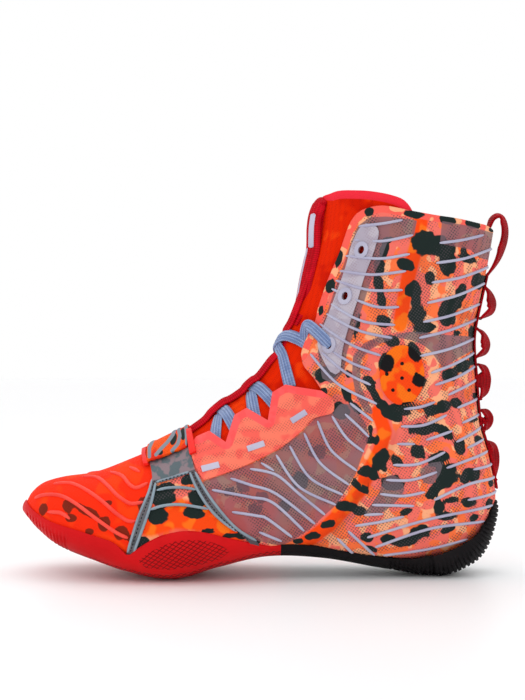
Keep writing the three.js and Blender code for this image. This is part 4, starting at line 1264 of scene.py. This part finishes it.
wingPanel = [(138, 561), (147, 554), (160, 547), (173, 542), (187, 540), (206, 541), (220, 545), (230, 551),
             (220, 559), (200, 565), (170, 570), (146, 568)]


def underTread(normal):
    return 1.0 if normal.z < -0.85 else 0.0


def forefootTread(place, normal):
    px, py = pixelOf(place)
    return max(depthInside(wingPanel, px, py, 6), underTread(normal))


def makeSoles():
    s = soleSizes
    toeLine = seenCurve(s["toeEdge"])
    wingLine = seenCurve(s["wingEdge"])
    heelLine = seenCurve(s["heelEdge"])
    front = [(0.275, 0.055)] + toeLine + wingLine + [(wingLine[-1][0] + 0.0003, -0.03), (0.275, -0.03)]
    back = heelLine + [(-0.08, 0.045), (-0.08, -0.03), (heelLine[0][0], -0.03)]
    # the third colour of each rubber is painted shade in its tread grooves
    red = makeTreadMaterial("red rubber", shade(212, 12, 18), shade(200, 6, 14),
                            shade(120, 0, 4), 0.5, 0.12)
    black = makeTreadMaterial("black rubber", shade(14, 11, 14), shade(20, 16, 18), shade(4, 3, 4),
                              0.6, 0.12)
    makeSole("toeSole", "outsole_forefoot", red, (0, 9.5), True, front, toeLine + wingLine,
             s["serrations"], forefootTread)
    makeSole("heelSole", "outsole_heel", black, (7.5, 15.5), False, back, heelLine,
             s["teeth"], lambda place, normal: underTread(normal))


makeSoles()
print("soles made")

# Insole board
insoleSizes = {"from": 2.0, "to": 13.0, "half": 5.2 / 36, "top": -0.0055, "thick": 0.003}


def makeInsole():
    s = insoleSizes

    def place(a, b):
        u = s["from"] + a * (s["to"] - s["from"])
        return skinPoint(u, (b - 0.5) * 2 * s["half"], s["top"])

    material, tree, shader = newMaterial("insole cloth")
    fuzz = noiseOf(tree, objectPlace(tree), 700, 3)
    paint(tree, shader, mixColors(tree, fuzz, shade(150, 30, 26), shade(196, 56, 40)))
    setSurface(shader, 0.9)
    roughen(tree, shader, fuzz, 0.3, 0.0004)
    bm = mappedGrid(90, 30, place)
    if sum(face.normal.z for face in bm.faces) < 0:
        bmesh.ops.reverse_faces(bm, faces=bm.faces)
    piece = finishObject("insoleBoard", bm, ["insole"], material)
    addWall(piece, s["thick"])


makeInsole()
print("insole made")

# Raised ribs, as photo pixels
ribSizes = {
    "spacing": 0.0018, "facingLift": 0.001, "eyeletReach": 7,
    # how far each kind stands off the form, and its half width
    "side": (0.0003, 0.00088), "toe": (0.0001, 0.0012),
    "saddle": (0.0008, 0.0009), "stitch": (0.0014, 0.00035),
    "stitchLength": 2, "stitchGap": 1.5,
}
toeRibs = [
    [(130, 467), (140, 472)], [(111, 472), (122, 476), (130, 485), (137, 488), (148, 483)],
    [(83, 477), (98, 478), (108, 486), (118, 496), (130, 503.5), (143.5, 502)],
    [(54, 484), (71, 483.6), (86, 490), (102, 501), (117, 514), (128, 521), (136, 521)],
    [(35, 498), (45.5, 495), (61, 496), (77, 504.5), (96.5, 519), (117, 533), (128, 538)],
    [(48, 512), (61, 513), (70, 519)]]
sideRibs = [
    [(345, 414), (358, 426), (369, 437)], [(332, 416), (346.5, 438), (364, 452)],
    [(317.5, 421), (331, 450), (357, 471)], [(304, 433), (320, 463), (349, 485)],
    [(289.5, 446), (310, 478), (343, 495)], [(276, 455), (299, 487), (336, 505)],
    [(261, 463), (274, 471)], [(250, 469), (276, 475), (299, 494), (325, 515)],
    [(230.5, 478.5), (250, 485), (276, 494), (315, 524)], [(212, 490), (249, 497), (273, 503), (304, 531)],
    [(232, 512), (258, 516), (267.5, 519), (292, 537)], [(259, 532), (281.5, 541)],
    [(348, 531), (374.6, 555)], [(337, 538), (355, 555)],
    [(359, 226.5), (380, 224), (402.6, 220)], [(353.5, 240), (383, 241), (413, 235)],
    [(346, 256), (380, 258.6), (409.6, 254)], [(340, 271), (373, 274.7), (406, 271)],
    [(336, 280.5), (369, 290), (402.6, 290)], [(332, 289), (373, 306), (399, 307)],
    [(331.6, 304), (362, 321), (395, 325)], [(327, 314), (359, 330.5), (392, 338)],
    [(320, 324), (352, 345), (381, 355.6)], [(334, 352), (352, 363), (371, 370)],
    [(322, 352.5), (345, 372), (371, 385)], [(310.5, 354), (338, 384), (377, 404)], [(350, 403), (373, 421)],
    [(439.5, 243), (462, 240), (483, 235)], [(436, 263), (466, 258), (493, 248)],
    [(431.6, 282.6), (462, 277), (491, 265.6)], [(427, 303), (458, 295), (486, 282)],
    [(423, 322), (452, 315), (480, 303)], [(419, 338), (450, 330), (478, 318)],
    [(420, 356), (449, 349), (474.6, 337.5)], [(431, 373), (454, 364), (474.6, 351.6)],
    [(435, 385), (457, 377), (475, 365)], [(448, 395), (476, 379)],
    [(404, 409), (420, 407), (435, 402)], [(457, 408), (480, 397)], [(401, 426.5), (424, 425), (446.5, 415)],
    [(462, 423), (480, 413)], [(426, 440), (452, 431)], [(456, 442), (480, 427)], [(397, 444), (415, 444)],
    [(467, 448), (483, 439)], [(393, 465), (418, 464), (445, 452)], [(446.5, 468), (468, 460), (487, 451)],
    [(473, 469.5), (493, 463)], [(386, 480), (411, 480), (437, 472)], [(434, 500), (469, 484), (495, 476)],
    [(380, 494), (403, 496), (425, 492)], [(467.5, 500), (496, 490)], [(372, 505), (414, 506)],
    [(364, 515), (383, 514)], [(355, 526), (380, 522), (404, 516.5)], [(367, 537.5), (434, 518), (492, 505)],
    [(375, 547), (432.5, 528), (484, 521)], [(383, 555), (427, 549), (467, 539)]]
saddleRibs = [
    [(157, 491), (168, 488.5), (182, 488), (196, 490)], [(150.6, 510), (164, 506), (182, 505), (208, 509)],
    [(156, 483), (173, 478), (190, 472.5)], [(156, 483), (151, 505), (143, 528), (134, 552)],
    [(190, 472.5), (197, 489), (209, 508), (222, 521), (236, 531)],
    [(152.5, 480), (149, 493), (138.5, 518), (128, 552)],
    [(195, 472), (205.5, 491), (220, 511), (237, 529), (256, 540)]]
saddleStitches = [
    [(155, 482), (150, 498), (140.5, 522), (131, 551)],
    [(193, 473), (201, 490), (214, 510), (230, 526), (248, 539)], [(160, 483), (174, 478.5), (188, 474.5)]]


def dashes(line, stitch, gap):
    # a line of pixels cut into separate short stitches
    points = [(p.x, p.y) for p in smoothLine([Vector(p) for p in line], 0.5)]
    whole = int((stitch + gap) / 0.5)
    return [points[i:i + int(stitch / 0.5) + 1] for i in range(0, len(points) - whole, whole)]


def clearRuns(line):
    # the stretches of a line that pass no eyelet
    runs = [[]]
    for point in line:
        seen = pixelOf(Vector((point[0], 0, point[1])))
        if min(math.dist(seen, place) for place in eyelets["places"]) > ribSizes["eyeletReach"]:
            runs[-1].append(point)
        elif runs[-1]:
            runs.append([])
    return [run for run in runs if len(run) > 2]


def makeRibs(name, lines, side, material, lift, half):
    # each rib is a thin raised bead along the form, tapered at both ends
    runs = [run for pixels in lines for run in clearRuns(smoothLine(seenLine(pixels), ribSizes["spacing"]))]
    curve = bpy.data.curves.new(name, "CURVE")
    curve.dimensions = "3D"
    curve.bevel_depth = half
    curve.bevel_resolution = 2
    curve.use_fill_caps = True
    for flat in runs:
        spline = curve.splines.new("POLY")
        spline.points.add(len(flat) - 1)
        for i, point in enumerate(flat):
            onFacing = depthInside(overlaySizes["facing"], *pixelOf(Vector((point[0], 0, point[1]))), 2)
            place, normal = fromSide(point[0], point[1], side, lift + ribSizes["facingLift"] * onFacing)
            spline.points[i].co = (*place, 1.0)
            fromEnd = min(i, len(flat) - 1 - i)
            spline.points[i].radius = (0.45, 0.8)[fromEnd] if fromEnd < 2 else 1.0
    source = bpy.data.objects.new(name, curve)
    bpy.context.scene.collection.objects.link(source)
    bpy.context.view_layer.update()
    mesh = bpy.data.meshes.new_from_object(source.evaluated_get(bpy.context.evaluated_depsgraph_get()))
    bpy.data.objects.remove(source)
    mesh.materials.clear()
    mesh.materials.append(material)
    mesh.shade_smooth()
    placeMesh(name, mesh, [])


stitches = [stitch for line in saddleStitches
            for stitch in dashes(line, ribSizes["stitchLength"], ribSizes["stitchGap"])]
for sideName, side in sides:
    makeRibs(f"sideRibs_{sideName}", sideRibs, side, ribMaterial, *ribSizes["side"])
    makeRibs(f"toeRibs_{sideName}", toeRibs, side, toeRibMaterial, *ribSizes["toe"])
    makeRibs(f"saddleRibs_{sideName}", saddleRibs, side, saddleRibMaterial, *ribSizes["saddle"])
    makeRibs(f"saddleStitches_{sideName}", stitches, side, stitchMaterial, *ribSizes["stitch"])
print("ribs made")

# Pale floor and soft light
studio = {"floor": 6.0, "paper": shade(254, 254, 255), "world": 1.0, "below": 0.0002}


def makeStudio():
    bm = bmesh.new()
    bmesh.ops.create_grid(bm, x_segments=2, y_segments=2, size=studio["floor"])
    mesh = bpy.data.meshes.new("floor")
    bm.to_mesh(mesh)
    bm.free()
    material, tree, shader = newMaterial("pale paper")
    shader.inputs["Base Color"].default_value = studio["paper"]
    shader.inputs["Roughness"].default_value = 0.45
    mesh.materials.append(material)
    floor = bpy.data.objects.new("floor", mesh)
    floor.location.z = -studio["below"]
    bpy.context.scene.collection.objects.link(floor)
    world = bpy.data.worlds.new("studio")
    bpy.context.scene.world = world
    world.use_nodes = True
    world.node_tree.nodes["Background"].inputs["Color"].default_value = (1.0, 1.0, 1.0, 1.0)
    world.node_tree.nodes["Background"].inputs["Strength"].default_value = studio["world"]
    for name, place, energy, size in (
            ("key", (0.5, 1.0, 1.2), 1.6, 0.5), ("top", (0.1, -0.3, 1.3), 2.5, 1.2)):
        light = bpy.data.objects.new(name, bpy.data.lights.new(name, "AREA"))
        light.data.energy = energy
        light.data.size = size
        light.location = place
        towards = Vector((0.1, 0, 0.1)) - Vector(place)
        light.rotation_euler = towards.to_track_quat("-Z", "Y").to_euler()
        bpy.context.scene.collection.objects.link(light)


makeStudio()
bpy.context.scene.view_settings.view_transform = "Standard"
